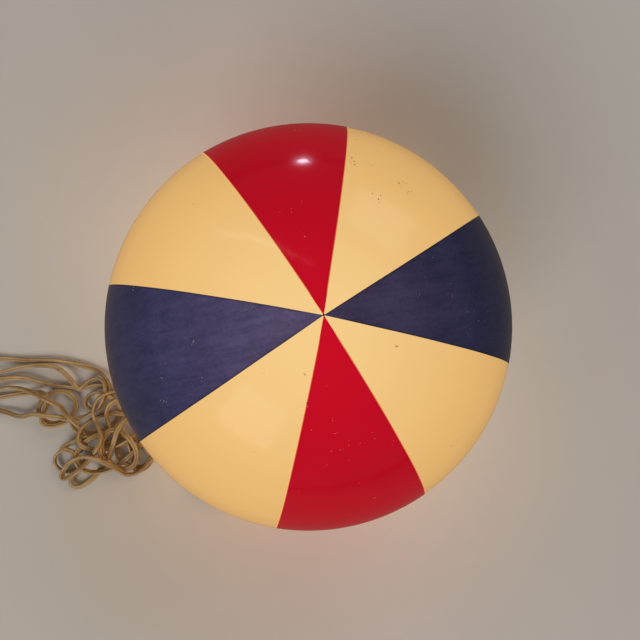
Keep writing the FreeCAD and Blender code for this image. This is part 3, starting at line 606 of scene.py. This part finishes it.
def build_marks(name, groups, base_r, material, seed):
    """All the marks of one kind, as one piece that turns with the ball."""
    rng = np.random.default_rng(seed)
    verts, faces = [], []
    for azimuth, polar, count, spread, size in groups:
        tilt = math.radians(polar)
        outward = unit(azimuth) * math.sin(tilt) + Vector((0, 0, math.cos(tilt)))
        east = unit(azimuth + 90)
        south = east.cross(outward)
        for _ in range(count):
            shift_east, shift_south = rng.normal(0, spread * MM, 2)
            place = (outward * base_r + east * shift_east + south * shift_south).normalized() * base_r
            across = rng.uniform(0.5, 1.15) * size * MM
            v, f = mark_solid(place, east, south, base_r, across, rng.uniform(0.55, 1.0), rng)
            faces += moved_faces(f, len(verts))
            verts += v
    marks = add_object(name, verts, faces, material)
    fix_normals(marks)
    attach(marks, "globe")


def mark_material(name, dark, light, strength, rough):
    """Uneven colour, with some of the lamp's light coming through."""
    s = Shader(name)
    tone = s.ramp(s.noise(600.0, 3.0, 0.6), (0.35, dark), (0.65, light))
    s.set(Base_Color=tone, Roughness=rough, Emission_Color=tone, Emission_Strength=strength)
    return s.material


# ---------------------------------------------------------------- thumbscrews

def thread_radius(x, angle, start, end):
    """Radius of a 60 degree thread that runs out smoothly at both ends."""
    phase = (x / SCREW_PITCH - angle / (2 * math.pi)) % 1.0
    ridge = 1.0 - abs(2 * phase - 1)
    run_out = max(0.0, min(1.0, (x - start) / SCREW_PITCH, (end - x) / SCREW_PITCH))
    full = SCREW_ROOT + (SCREW_CREST - SCREW_ROOT) * ridge
    return SCREW_ROOT + (full - SCREW_ROOT) * run_out


def screw_profile(start, head):
    """Outline of the screw along its length: nose, thread, plain neck and rounded collar."""
    nose_r, nose_length = SCREW_NOSE
    collar_r, collar_length = SCREW_COLLAR
    thread_start = start + nose_length
    thread_end = head - SCREW_NECK
    chamfer = 0.2 * MM
    collar_end = head + collar_length
    outline = [(0.0, start), (nose_r - chamfer, start), (nose_r, start + chamfer), (nose_r, thread_start)]
    outline.append((SCREW_ROOT - 1.5 * chamfer, thread_start))
    steps = int((thread_end - thread_start) / (SCREW_PITCH / 8))
    for i in range(steps + 1):
        x = thread_start + chamfer + (thread_end - thread_start - chamfer) * i / steps
        outline.append((lambda angle, x=x: thread_radius(x, angle, thread_start, thread_end), x))
    bevel = 0.35 * MM
    outline += [(SCREW_ROOT, head), (collar_r - bevel, head), (collar_r, head + bevel)]
    outline += [(collar_r, collar_end - bevel), (collar_r - bevel, collar_end), (0.0, collar_end)]
    return outline


def spade_profile():
    """Outline of the round flat head, dished on both sides for finger and thumb, with a rounded rim."""
    half = SPADE_T / 2
    dish_edge = 0.8
    face = [(0.0, half - SPADE_DISH)]
    for share in (0.2, 0.4, 0.6, 0.74, dish_edge):
        face.append((SPADE_R * share, half - SPADE_DISH * (1 - share / dish_edge) ** 0.5))
    rim = arc_points((SPADE_R - half, 0.0), half, 80, -80, 14)
    return face + rim + [(r, -z) for r, z in reversed(face)]


def build_thumbscrews(material):
    """The three thumbscrews with real threads and spade heads, one piece each."""
    low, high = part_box("thumbscrew_1")
    spade_x = high.x - SPADE_R
    bar, bar_rings = turned(screw_profile(low.x, spade_x - SPADE_R - SPADE_GAP), SCREW_SIDES)
    spade, spade_rings = turned(spade_profile(), SPADE_SIDES)
    solid = [(z, x, y) for x, y, z in bar] + [(spade_x + x, z, y) for x, y, z in spade]
    faces = ring_faces(bar_rings) + moved_faces(ring_faces(spade_rings), len(bar))
    for number in (1, 2, 3):
        middle = box_middle(f"thumbscrew_{number}")
        turn = Matrix.Rotation(math.atan2(middle.y, middle.x), 4, "Z")
        lift = Vector((0, 0, middle.z))
        verts = [turn @ Vector(v) + lift for v in solid]
        screw = add_object(f"threaded_screw_{number}", verts, faces, material)
        fix_normals(screw)
        screw.data.set_sharp_from_angle(angle=math.radians(50))
        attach(screw, f"screw_{number}")
        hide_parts(f"thumbscrew_{number}")


# ---------------------------------------------------------------- metal, plastic and porcelain finishes

def plated_material(name, colour, rough, tarnish, wear):
    """Old plate: cloudy gloss, fine scratches and brownish tarnish in patches."""
    s = Shader(name)
    cloud = s.noise(24.0, 6.0, 0.62)
    fine = s.noise(260.0, 4.0, 0.6)
    scratch = s.noise(120.0, 2.0, 0.5, coords=s.stretch((1.0, 1.0, 14.0)))
    patch = s.spread(s.noise(38.0, 5.0, 0.65), 0.50, 0.72, 0.0, wear)
    base = s.mix(patch, colour, tarnish)
    clouded = s.spread(cloud, 0.3, 0.75, rough * 0.75, rough * 1.45)
    roughness = s.math("ADD", clouded, s.math("MULTIPLY", patch, 0.18))
    height = s.math("ADD", s.math("MULTIPLY", fine, 0.4), s.math("MULTIPLY", scratch, 0.6))
    s.set(Base_Color=base, Metallic=1.0, Roughness=roughness, Normal=s.bump(height, 0.00012, 0.35))
    return s.material


def moulded_material(name, colour, rough, speckle):
    """Moulded plastic, rubber or fibre: slight colour cloud, fine skin and dust."""
    s = Shader(name)
    cloud = s.noise(30.0, 5.0, 0.6)
    fine = s.noise(700.0, 3.0, 0.6)
    lighter = tuple(min(1.0, c * 1.35 + 0.01) for c in colour)
    darker = tuple(c * 0.72 for c in colour)
    base = s.ramp(cloud, (0.3, darker), (0.5, colour), (0.75, lighter))
    dust = s.spread(s.noise(90.0, 6.0, 0.7), 0.55, 0.78, 0.0, speckle)
    base = s.mix(dust, base, (0.42, 0.38, 0.33))
    s.set(Base_Color=base, Roughness=s.spread(cloud, 0.3, 0.7, rough * 0.85, min(1.0, rough * 1.2)),
          Normal=s.bump(fine, 0.0002, 0.4))
    return s.material


def porcelain_material():
    s = Shader("porcelain_glaze")
    cloud = s.noise(20.0, 4.0, 0.5)
    base = s.ramp(cloud, (0.3, (0.76, 0.72, 0.64)), (0.7, (0.86, 0.84, 0.79)))
    specks = s.spread(s.voronoi(160.0), 0.03, 0.06, 0.6, 0.0)
    base = s.mix(specks, base, (0.25, 0.18, 0.12))
    s.set(Base_Color=base, Roughness=0.14, Normal=s.bump(cloud, 0.0004, 0.3))
    return s.material


def glow_material(name, colour, strength):
    s = Shader(name)
    cloud = s.noise(60.0, 3.0, 0.5)
    shade = s.ramp(cloud, (0.3, tuple(c * 0.85 for c in colour)), (0.7, colour))
    s.set(Base_Color=(0.85, 0.82, 0.78), Roughness=0.45, Emission_Color=shade, Emission_Strength=strength)
    return s.material


def clear_glass_material():
    s = Shader("lamp_glass")
    seeds = s.noise(80.0, 2.0, 0.5)
    s.set(Base_Color=s.ramp(seeds, (0.3, (0.88, 0.92, 0.90)), (0.7, (0.96, 0.98, 0.97))), Roughness=0.05,
          Transmission_Weight=0.9, IOR=1.5, Normal=s.bump(seeds, 0.0002, 0.2))
    return s.material


def flex_material():
    """Tan vinyl over two cores: slow colour changes along its length, painted shade in the groove, and
    handling dirt.
    """
    s = Shader("flex_vinyl")
    along = s.noise(26.0, 5.0, 0.6)
    base = s.ramp(along, (0.28, (0.33, 0.20, 0.08)), (0.5, (0.49, 0.315, 0.128)), (0.75, (0.64, 0.43, 0.19)))
    # painted shade: darker in the groove between the two cores, by how deep each point lies in it
    groove = s.spread(s.attribute("groove"), 0.0, 1.0, 0.0, 0.45)
    dirt = s.spread(s.noise(110.0, 6.0, 0.7), 0.48, 0.75, 0.0, 0.5)
    base = s.mix(groove, base, (0.07, 0.040, 0.018))
    base = s.mix(dirt, base, (0.11, 0.065, 0.030))
    skin = s.noise(900.0, 2.0, 0.5)
    s.set(Base_Color=base, Roughness=s.spread(along, 0.3, 0.7, 0.28, 0.46),
          Normal=s.bump(skin, 0.00006, 0.5))
    return s.material


def make_finishes():
    """A procedural finish for each material slot of the CAD nodes that stay in view."""
    return {
        "holder_plating": plated_material("old_nickel", (0.56, 0.53, 0.48), 0.24, (0.20, 0.13, 0.07), 0.55),
        "nickel_steel": plated_material("nickel_steel", (0.60, 0.57, 0.52), 0.26, (0.22, 0.15, 0.09), 0.45),
        "zinc_steel": plated_material("zinc_steel", (0.44, 0.45, 0.45), 0.42, (0.26, 0.22, 0.17), 0.5),
        "brass": plated_material("brass", (0.62, 0.42, 0.16), 0.30, (0.20, 0.10, 0.04), 0.5),
        "bulb_cap_metal": plated_material("lamp_cap_metal", (0.66, 0.66, 0.65), 0.32,
                                          (0.34, 0.32, 0.28), 0.35),
        "lead_wire": plated_material("lead_wire", (0.58, 0.54, 0.50), 0.3, (0.3, 0.25, 0.2), 0.3),
        "solder": plated_material("solder", (0.56, 0.57, 0.58), 0.4, (0.3, 0.3, 0.3), 0.5),
        "rubber": moulded_material("black_rubber", (0.030, 0.028, 0.026), 0.62, 0.35),
        "black_plastic": moulded_material("black_plastic", (0.022, 0.022, 0.022), 0.38, 0.25),
        "brown_plastic": moulded_material("brown_plastic", (0.085, 0.038, 0.018), 0.26, 0.22),
        "fibre_board": moulded_material("fibre_board", (0.17, 0.075, 0.045), 0.75, 0.3),
        "nylon": moulded_material("nylon", (0.66, 0.63, 0.55), 0.4, 0.15),
        "black_glass": moulded_material("black_glass", (0.02, 0.02, 0.03), 0.12, 0.05),
        "porcelain": porcelain_material(),
        "clear_glass": clear_glass_material(),
        "frosted_glass": glow_material("frosted_lamp", (1.0, 0.66, 0.34), 3.0),
        "tungsten": glow_material("filament_glow", (1.0, 0.70, 0.35), 12.0),
        "flex_cover": moulded_material("core_cover", (0.20, 0.12, 0.06), 0.4, 0.2),
    }


def finish_cad_nodes(finishes):
    """Gives every CAD node that stays in view the finish of its slot."""
    slots = {row["node"]: row["material_slot"] for row in frame["record"]["subparts"]}
    for node, obj in frame["nodes"].items():
        if obj.hide_render:
            continue
        obj.data.materials.clear()
        obj.data.materials.append(finishes[slots[node]])


# ---------------------------------------------------------------- flex

# Where the spare flex lies on the floor, in millimetres towards the picture's right and top from the
# globe's axis. It runs out and back in long slack strands, with open loops between them. A loop is
# (centre, radii, tilt, start angle, turns), turning left for positive turns.
SPARE_FLEX = (
    (-183, -60), (-199, -52), (-213, -55), (-232, -54), (-252, -51), (-272, -45), (-300, -46),
    (-315, -40), (-315, -30), (-300, -26), (-270, -28), (-240, -29), (-214, -34), (-197, -42),
    (-188, -56), (-194, -71), (-208, -77), (-213, -67), (-202, -59), (-187, -63), (-179, -77),
    (-186, -92), (-205, -99), (-221, -96), ((-238, -74), (17, 15), 20, -60, -1.25), (-246, -61),
    (-268, -60), (-296, -64), (-314, -66), (-316, -74), (-300, -76), (-284, -79), (-272, -83),
    (-258, -79), (-238, -82), (-216, -84), (-198, -74), (-190, -58), (-198, -45), (-210, -49),
    (-218, -58), (-226, -47), (-240, -35), (-262, -33), (-284, -37), (-308, -44), (-318, -52),
    (-308, -59), (-284, -54), (-262, -58), (-242, -67), (-225, -80), (-211, -96), (-210, -112),
    ((-228, -125), (12, 11), 0, 40, 1.2), (-222, -107), (-206, -101), (-190, -107), (-190, -124),
    (-204, -143), (-219, -152), (-226, -145), (-214, -130), (-194, -112), (-174, -103),
    ((-165, -121), (17, 11), -20, 70, -1.4), (-170, -104), (-188, -97), (-207, -105), (-217, -122),
    (-205, -136), (-185, -133), (-168, -121), (-156, -108), (-152, -94), (-167, -83), (-189, -80),
    (-208, -88), (-214, -104), (-199, -114), (-178, -110), (-160, -97), (-152, -80), (-161, -67),
    (-180, -66), (-191, -79), (-184, -98), ((-176, -114), (14, 20), 30, 80, 1.3), (-176, -92),
    (-164, -76), (-176, -58), (-196, -64), (-202, -82), (-190, -100), (-200, -118), (-215, -134),
    (-232, -142), (-226, -128), (-205, -118), (-184, -126), (-168, -138), (-153, -132),
    (-142, -118), (-134, -128), (-127, -141), (-116, -149),
)
# How springy the spare flex is: how high it stands off what it lies on, at most
SPRING = 4.0 * MM


def on_floor(right, up, z=0.0):
    """A point given in the picture's directions from the globe's axis, in millimetres."""
    place = IMAGE_RIGHT_DIR * right * MM + IMAGE_UP_DIR * up * MM
    return np.array((place.x, place.y, z * MM))


def loop_points(centre, radii, tilt, start, turns):
    """Points round one slack loop, a little wider on each turn."""
    c, s = math.cos(math.radians(tilt)), math.sin(math.radians(tilt))
    count = max(3, round(8 * abs(turns)))
    points = []
    for i in range(count + 1):
        angle = math.radians(start + 360 * turns * i / count)
        swell = 1 + 0.12 * i / count
        x, y = radii[0] * math.cos(angle) * swell, radii[1] * math.sin(angle) * swell
        points.append(on_floor(centre[0] + x * c - y * s, centre[1] + x * s + y * c))
    return points


def plug_line():
    """The back end of the plug and the way its blades point."""
    along = unit(PLUG_ANGLE)
    back = box_middle("plug_body") - along * PLUG_LENGTH / 2
    return Vector((back.x, back.y, box_middle("plug_blades").z)), along


def flex_route():
    """Points of the whole flex: out of the drum, through the slack, and into the back of the plug."""
    exit_z = box_middle("cord_bushing").z / MM
    lead = ((-57.0, 0.0, exit_z), (-64.0, 0.0, exit_z), (-72.0, 0.0, exit_z - 0.4), (-82.0, -0.5, 9.0),
            (-92.0, -2.0, 3.0), (-104.0, -6.0, FLEX_LOW), (-124.0, -14.0, FLEX_LOW),
            (-150.0, -20.0, FLEX_LOW))
    route = [np.array(point) * MM for point in lead]
    for item in SPARE_FLEX:
        if len(item) == 2:
            route.append(on_floor(*item, FLEX_LOW))
        else:
            route += loop_points(*item)
    back, along = plug_line()
    for distance, z in ((9, 4.0 * MM), (2, back.z), (-8, back.z), (-15, back.z)):
        place = back - along * distance * MM
        route.append(np.array((place.x, place.y, z)))
    return route


def spline_through(points, step):
    """Evenly spaced points along a smooth (Catmull-Rom) line through the control points."""
    p = np.array(points)
    p = np.vstack([2 * p[0] - p[1], p, 2 * p[-1] - p[-2]])
    dense = []
    for i in range(1, len(p) - 2):
        t = np.linspace(0, 1, 24, endpoint=False)[:, None]
        a, b, c, d = p[i - 1], p[i], p[i + 1], p[i + 2]
        dense.append(0.5 * (2 * b + (c - a) * t + (2 * a - 5 * b + 4 * c - d) * t ** 2
                            + (3 * b - a - 3 * c + d) * t ** 3))
    dense = np.vstack(dense + [p[-2][None, :]])
    travelled = np.concatenate([[0], np.cumsum(np.linalg.norm(np.diff(dense, axis=0), axis=1))])
    at = np.linspace(0, travelled[-1], int(travelled[-1] / step) + 1)
    return np.stack([np.interp(at, travelled, dense[:, axis]) for axis in range(3)], axis=1)


def softened(values, sigma):
    """Values along the line, blurred over sigma points."""
    reach = int(3 * sigma)
    weights = np.exp(-0.5 * (np.arange(-reach, reach + 1) / sigma) ** 2)
    return np.convolve(np.pad(values, reach, mode="edge"), weights / weights.sum(), mode="valid")


def widened(values, reach):
    """The largest value within reach points."""
    padded = np.pad(values, reach, mode="edge")
    return np.lib.stride_tricks.sliding_window_view(padded, 2 * reach + 1).max(axis=1)


def wandering(rng, count, spacing, size):
    """Smooth random values along the line, with a new turn every few points."""
    knots = rng.normal(0, size, count // spacing + 2)
    return softened(np.interp(np.arange(count) / spacing, np.arange(len(knots)), knots), spacing / 4)


def stacked_heights(points, twist, spring):
    """Height of every point when each stretch of the flex lies on those laid before it."""
    reach = (FLEX_W - FLEX_T) / 2
    high = FLEX_T / 2 + reach * np.abs(np.sin(twist))
    wide = FLEX_T / 2 + reach * np.abs(np.cos(twist))
    apart = int(SAME_STRETCH / FLEX_STEP)
    under, over = np.triu_indices(len(points), apart)
    distance = np.hypot(*(points[under, :2] - points[over, :2]).T)
    touch = wide[under] + wide[over]
    near = distance < touch
    under, over, distance, touch = under[near], over[near], distance[near], touch[near]
    lift = (high[under] + high[over]) * np.sqrt(1 - (distance / touch) ** 2)
    heights = high.copy()
    for _ in range(STACKING_PASSES):
        raised = high + spring
        np.maximum.at(raised, over, heights[under] + lift)
        bridged = widened(raised, int(BRIDGE_LENGTH / FLEX_STEP))
        heights = softened(bridged, BEND_LENGTH / FLEX_STEP)
    return heights


def flex_section():
    """Outline of two round cores with a web between, and how deep each of its points lies in the groove."""
    core = FLEX_T / 2
    offset = (FLEX_W - FLEX_T) / 2
    angles = np.radians(np.linspace(-132, 132, 10))
    right = [(offset + core * math.cos(a), core * math.sin(a)) for a in angles]
    left = [(-x, -y) for x, y in right]
    depth = [0.5] + [0.0] * 8 + [0.5]
    web = core * 0.66
    return right + [(0.0, web)] + left + [(0.0, -web)], depth + [1.0] + depth + [1.0]


def sweep_flex(points, twist):
    """Vertices, faces and groove depths of the flex along the points."""
    tangent = np.gradient(points, axis=0)
    tangent /= np.linalg.norm(tangent, axis=1)[:, None]
    side = np.cross((0, 0, 1), tangent)
    side /= np.linalg.norm(side, axis=1)[:, None]
    up = np.cross(tangent, side)
    wide = side * np.cos(twist)[:, None] + up * np.sin(twist)[:, None]
    thick = np.cross(tangent, wide)
    section, groove = flex_section()
    ring = len(section)
    verts = [place + w * x + t * y for place, w, t in zip(points, wide, thick) for x, y in section]
    rings = [list(range(i * ring, (i + 1) * ring)) for i in range(len(points))]
    faces = ring_faces(rings) + [tuple(reversed(rings[0])), tuple(rings[-1])]
    return verts, faces, groove * len(points)


def build_flex():
    """The flex as one piece; its slack part is stacked up in the order in which it was laid."""
    rng = np.random.default_rng(SEED)
    points = spline_through(flex_route(), FLEX_STEP)
    count = len(points)
    along = np.arange(count) * FLEX_STEP
    from_ends = np.minimum(along - LEAD_LENGTH, along[-1] - along - TAIL_LENGTH)
    loose = np.clip(from_ends / SLACK_START, 0, 1)
    for axis in (0, 1):
        rounded = softened(points[:, axis], CORNER_LENGTH / FLEX_STEP)
        points[:, axis] += (rounded - points[:, axis]) * loose
    twist = wandering(rng, count, int(TWIST_LENGTH / FLEX_STEP), 1.25) * loose
    spring = np.abs(wandering(rng, count, int(SPRING_LENGTH / FLEX_STEP), 1.0)) * SPRING * loose
    stacked = stacked_heights(points, twist, spring)
    points[:, 2] = points[:, 2] * (1 - loose) + stacked * loose
    verts, faces, groove = sweep_flex(points, twist)
    flex = add_object("flex", verts, faces, flex_material())
    fix_normals(flex)
    point_values(flex, "groove", groove)
    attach(flex, "base")
    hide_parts("cord_lead", "cord_hank", "cord_tail")


# ---------------------------------------------------------------- stage, light, camera

BACKDROP = (0.50, 0.475, 0.44)
# Dim light from all round that isn't seen by the camera
ROOM_LIGHT = (0.095, 0.093, 0.090)
# How far out the floor starts to fade into the backdrop, and where it has, in metres
FLOOR_FADE = (0.25, 1.2)
FLOOR_HALF = 6.0
FLOOR_Z = -0.2 * MM

WARM = (1.0, 0.96, 0.91)
COOL = (0.95, 0.97, 1.0)
# Softboxes round the middle of the ball: name, whether they light the glass or the rest,
# compass and height angle, distance, width and height in metres, brightness, colour
SOFTBOXES = (
    ("key_softbox", "rest", 227, 40, 2.9, (1.7, 1.7), 4.6, WARM),
    ("fill_softbox", "rest", 46, 34, 3.2, (2.2, 1.8), 2.0, COOL),
    ("key_sheen", "glass", 225, 32, 2.9, (1.3, 1.3), 1.0, WARM),
    ("fill_sheen", "glass", 45, 26, 3.2, (1.5, 1.4), 0.7, COOL),
)
# The small bright spot in the glass: where on the ball it shows, and from there the compass angle,
# height angle and distance of its light; then its bright middle and the faint halo round it
GLINT = Vector((0.008, 0.075, 0.277))
GLINT_FROM = (80.3, -2.8, 1.6)
GLINT_PARTS = (
    ("catch_light", (0.085, 0.05), 45.0, (0.88, 0.83, 1.0)),
    ("catch_halo", (0.20, 0.11), 2.2, (0.72, 0.55, 1.0)),
)
# The thin bent streak in the glass: compass and height angles of its bends, and how bright each stretch is
STREAK = ((124, 20), (121, 28), (114, 37), (105, 48), (94, 56), (79, 63))
STREAK_BRIGHTNESS = (2.2, 5.5, 6.0, 2.0, 1.0)
STREAK_DISTANCE = 2.5
STREAK_WIDTH = 0.035
STREAK_COLOUR = (1.0, 0.95, 0.9)


def build_floor():
    """Pale paper that fades into the backdrop far away; the glass mirrors it more dimly than it looks."""
    s = Shader("floor_paper")
    cloud = s.noise(3.0, 4.0, 0.5)
    paper = s.ramp(cloud, (0.3, (0.66, 0.62, 0.57)), (0.7, (0.70, 0.66, 0.61)))
    paper = s.mix(s.ray_is("Glossy"), paper, (0.17, 0.15, 0.13))
    s.set(Base_Color=paper, Roughness=0.85)
    distance = s.nodes.new("ShaderNodeVectorMath")
    distance.operation = "LENGTH"
    s.feed(distance.inputs[0], s.coords)
    far = s.spread(distance.outputs["Value"], *FLOOR_FADE)
    backdrop = s.nodes.new("ShaderNodeEmission")
    s.feed(backdrop.inputs["Color"], BACKDROP)
    blend = s.nodes.new("ShaderNodeMixShader")
    s.feed(blend.inputs[0], s.math("MULTIPLY", far, s.ray_is("Camera")))
    s.feed(blend.inputs[1], s.bsdf.outputs[0])
    s.feed(blend.inputs[2], backdrop.outputs[0])
    s.feed(s.nodes["Material Output"].inputs["Surface"], blend.outputs[0])
    corners = [(x * FLOOR_HALF, y * FLOOR_HALF, FLOOR_Z) for x, y in ((-1, -1), (1, -1), (1, 1), (-1, 1))]
    floor = add_object("floor", corners, [(0, 1, 2, 3)], s.material, smooth=False)


def aim(obj, place, target, up=Vector((0, 0, 1))):
    """Puts a camera or light at a place, looking along its own -Z at the target."""
    back = (Vector(place) - Vector(target)).normalized()
    right = Vector(up).cross(back).normalized()
    top = back.cross(right)
    obj.matrix_world = Matrix((
        (right.x, top.x, back.x, place[0]),
        (right.y, top.y, back.y, place[1]),
        (right.z, top.z, back.z, place[2]),
        (0, 0, 0, 1),
    ))


def towards(azimuth, elevation, distance, origin):
    """The point at a compass angle and height angle from the origin."""
    level = math.cos(math.radians(elevation))
    return origin + (unit(azimuth) * level + Vector((0, 0, math.sin(math.radians(elevation))))) * distance


def area_light(name, place, target, size, radiance, colour, lit):
    """Rectangular light, by its size in metres and its brightness, that lights one group of objects."""
    data = bpy.data.lights.new(name, "AREA")
    data.shape = "RECTANGLE"
    data.size, data.size_y = size
    data.energy = radiance * math.pi * size[0] * size[1]
    data.color = colour
    light = bpy.data.objects.new(name, data)
    light.visible_camera = False
    bpy.context.scene.collection.objects.link(light)
    aim(light, place, target)
    light.light_linking.receiver_collection = lit
    return light


def build_world():
    """Dim even light, with a pale backdrop for the camera only."""
    world = bpy.data.worlds.new("studio")
    bpy.context.scene.world = world
    world.use_nodes = True
    nodes, links = world.node_tree.nodes, world.node_tree.links
    paths = nodes.new("ShaderNodeLightPath")
    mix = nodes.new("ShaderNodeMix")
    mix.data_type = "RGBA"
    mix.inputs[6].default_value = (*ROOM_LIGHT, 1.0)
    mix.inputs[7].default_value = (*BACKDROP, 1.0)
    links.new(paths.outputs["Is Camera Ray"], mix.inputs[0])
    links.new(mix.outputs[2], nodes["Background"].inputs["Color"])


def light_groups():
    """Two collections for light linking: the painted glass with its marks, and everything else."""
    on_the_glass = ["globe", "red_gores", "blue_gores"] + [row[0] for row in MARKS]
    groups = {name: bpy.data.collections.new(name) for name in ("glass", "rest")}
    for obj in bpy.context.scene.objects:
        if obj.type == "MESH":
            groups["glass" if obj.name in on_the_glass else "rest"].objects.link(obj)
    return groups


def build_lights():
    """Every light in the tables above, each on its own group of objects."""
    groups = light_groups()
    middle = Vector((0, 0, GLOBE_Z))
    for name, group, azimuth, elevation, distance, size, radiance, colour in SOFTBOXES:
        place = towards(azimuth, elevation, distance, middle)
        area_light(name, place, middle, size, radiance, colour, groups[group])
    glint_from = towards(*GLINT_FROM, GLINT)
    for name, size, radiance, colour in GLINT_PARTS:
        area_light(name, glint_from, GLINT, size, radiance, colour, groups["glass"])
    for start, end, radiance in zip(STREAK, STREAK[1:], STREAK_BRIGHTNESS):
        low_end = towards(*start, STREAK_DISTANCE, middle)
        high_end = towards(*end, STREAK_DISTANCE, middle)
        centre = (low_end + high_end) / 2
        along = high_end - low_end
        size = (along.length, STREAK_WIDTH)
        strip = area_light("strip_light", centre, middle, size, radiance, STREAK_COLOUR, groups["glass"])
        aim(strip, centre, middle, along.cross(middle - low_end))


def build_camera():
    """The camera close over the ball's pole, a little to one side of its axis."""
    centre = Vector((0, 0, GLOBE_Z))
    away = Vector((0, 0, 1)) - IMAGE_RIGHT_DIR * math.tan(math.radians(AXIS_TO_RIGHT))
    away -= IMAGE_UP_DIR * math.tan(math.radians(AXIS_TO_TOP))
    distance = CAMERA_RADII * GLOBE_R
    place = centre + away.normalized() * distance
    target = centre + (IMAGE_RIGHT_DIR * AIM_RIGHT + IMAGE_UP_DIR * AIM_UP) * distance
    data = bpy.data.cameras.new("camera")
    data.lens = LENS_MM
    data.sensor_width = SENSOR_MM
    data.clip_start = 0.01
    camera = bpy.data.objects.new("camera", data)
    bpy.context.scene.collection.objects.link(camera)
    aim(camera, place, target, IMAGE_UP_DIR)
    bpy.context.scene.camera = camera


build_globe()
build_films("red_gores", RED_GORES, red_material(), "red_panels", SEED)
build_films("blue_gores", BLUE_GORES, blue_material(), "blue_panels", SEED + 50)
for number, (name, groups, film, slot, *look) in enumerate(MARKS):
    build_marks(name, groups, GLOBE_R + film, mark_material(name, *look), MARK_SEED + number)
build_flex()
finishes = make_finishes()
finish_cad_nodes(finishes)
build_thumbscrews(finishes["nickel_steel"])
build_floor()
build_world()
build_lights()
build_camera()
bpy.context.scene.view_settings.view_transform = "Standard"
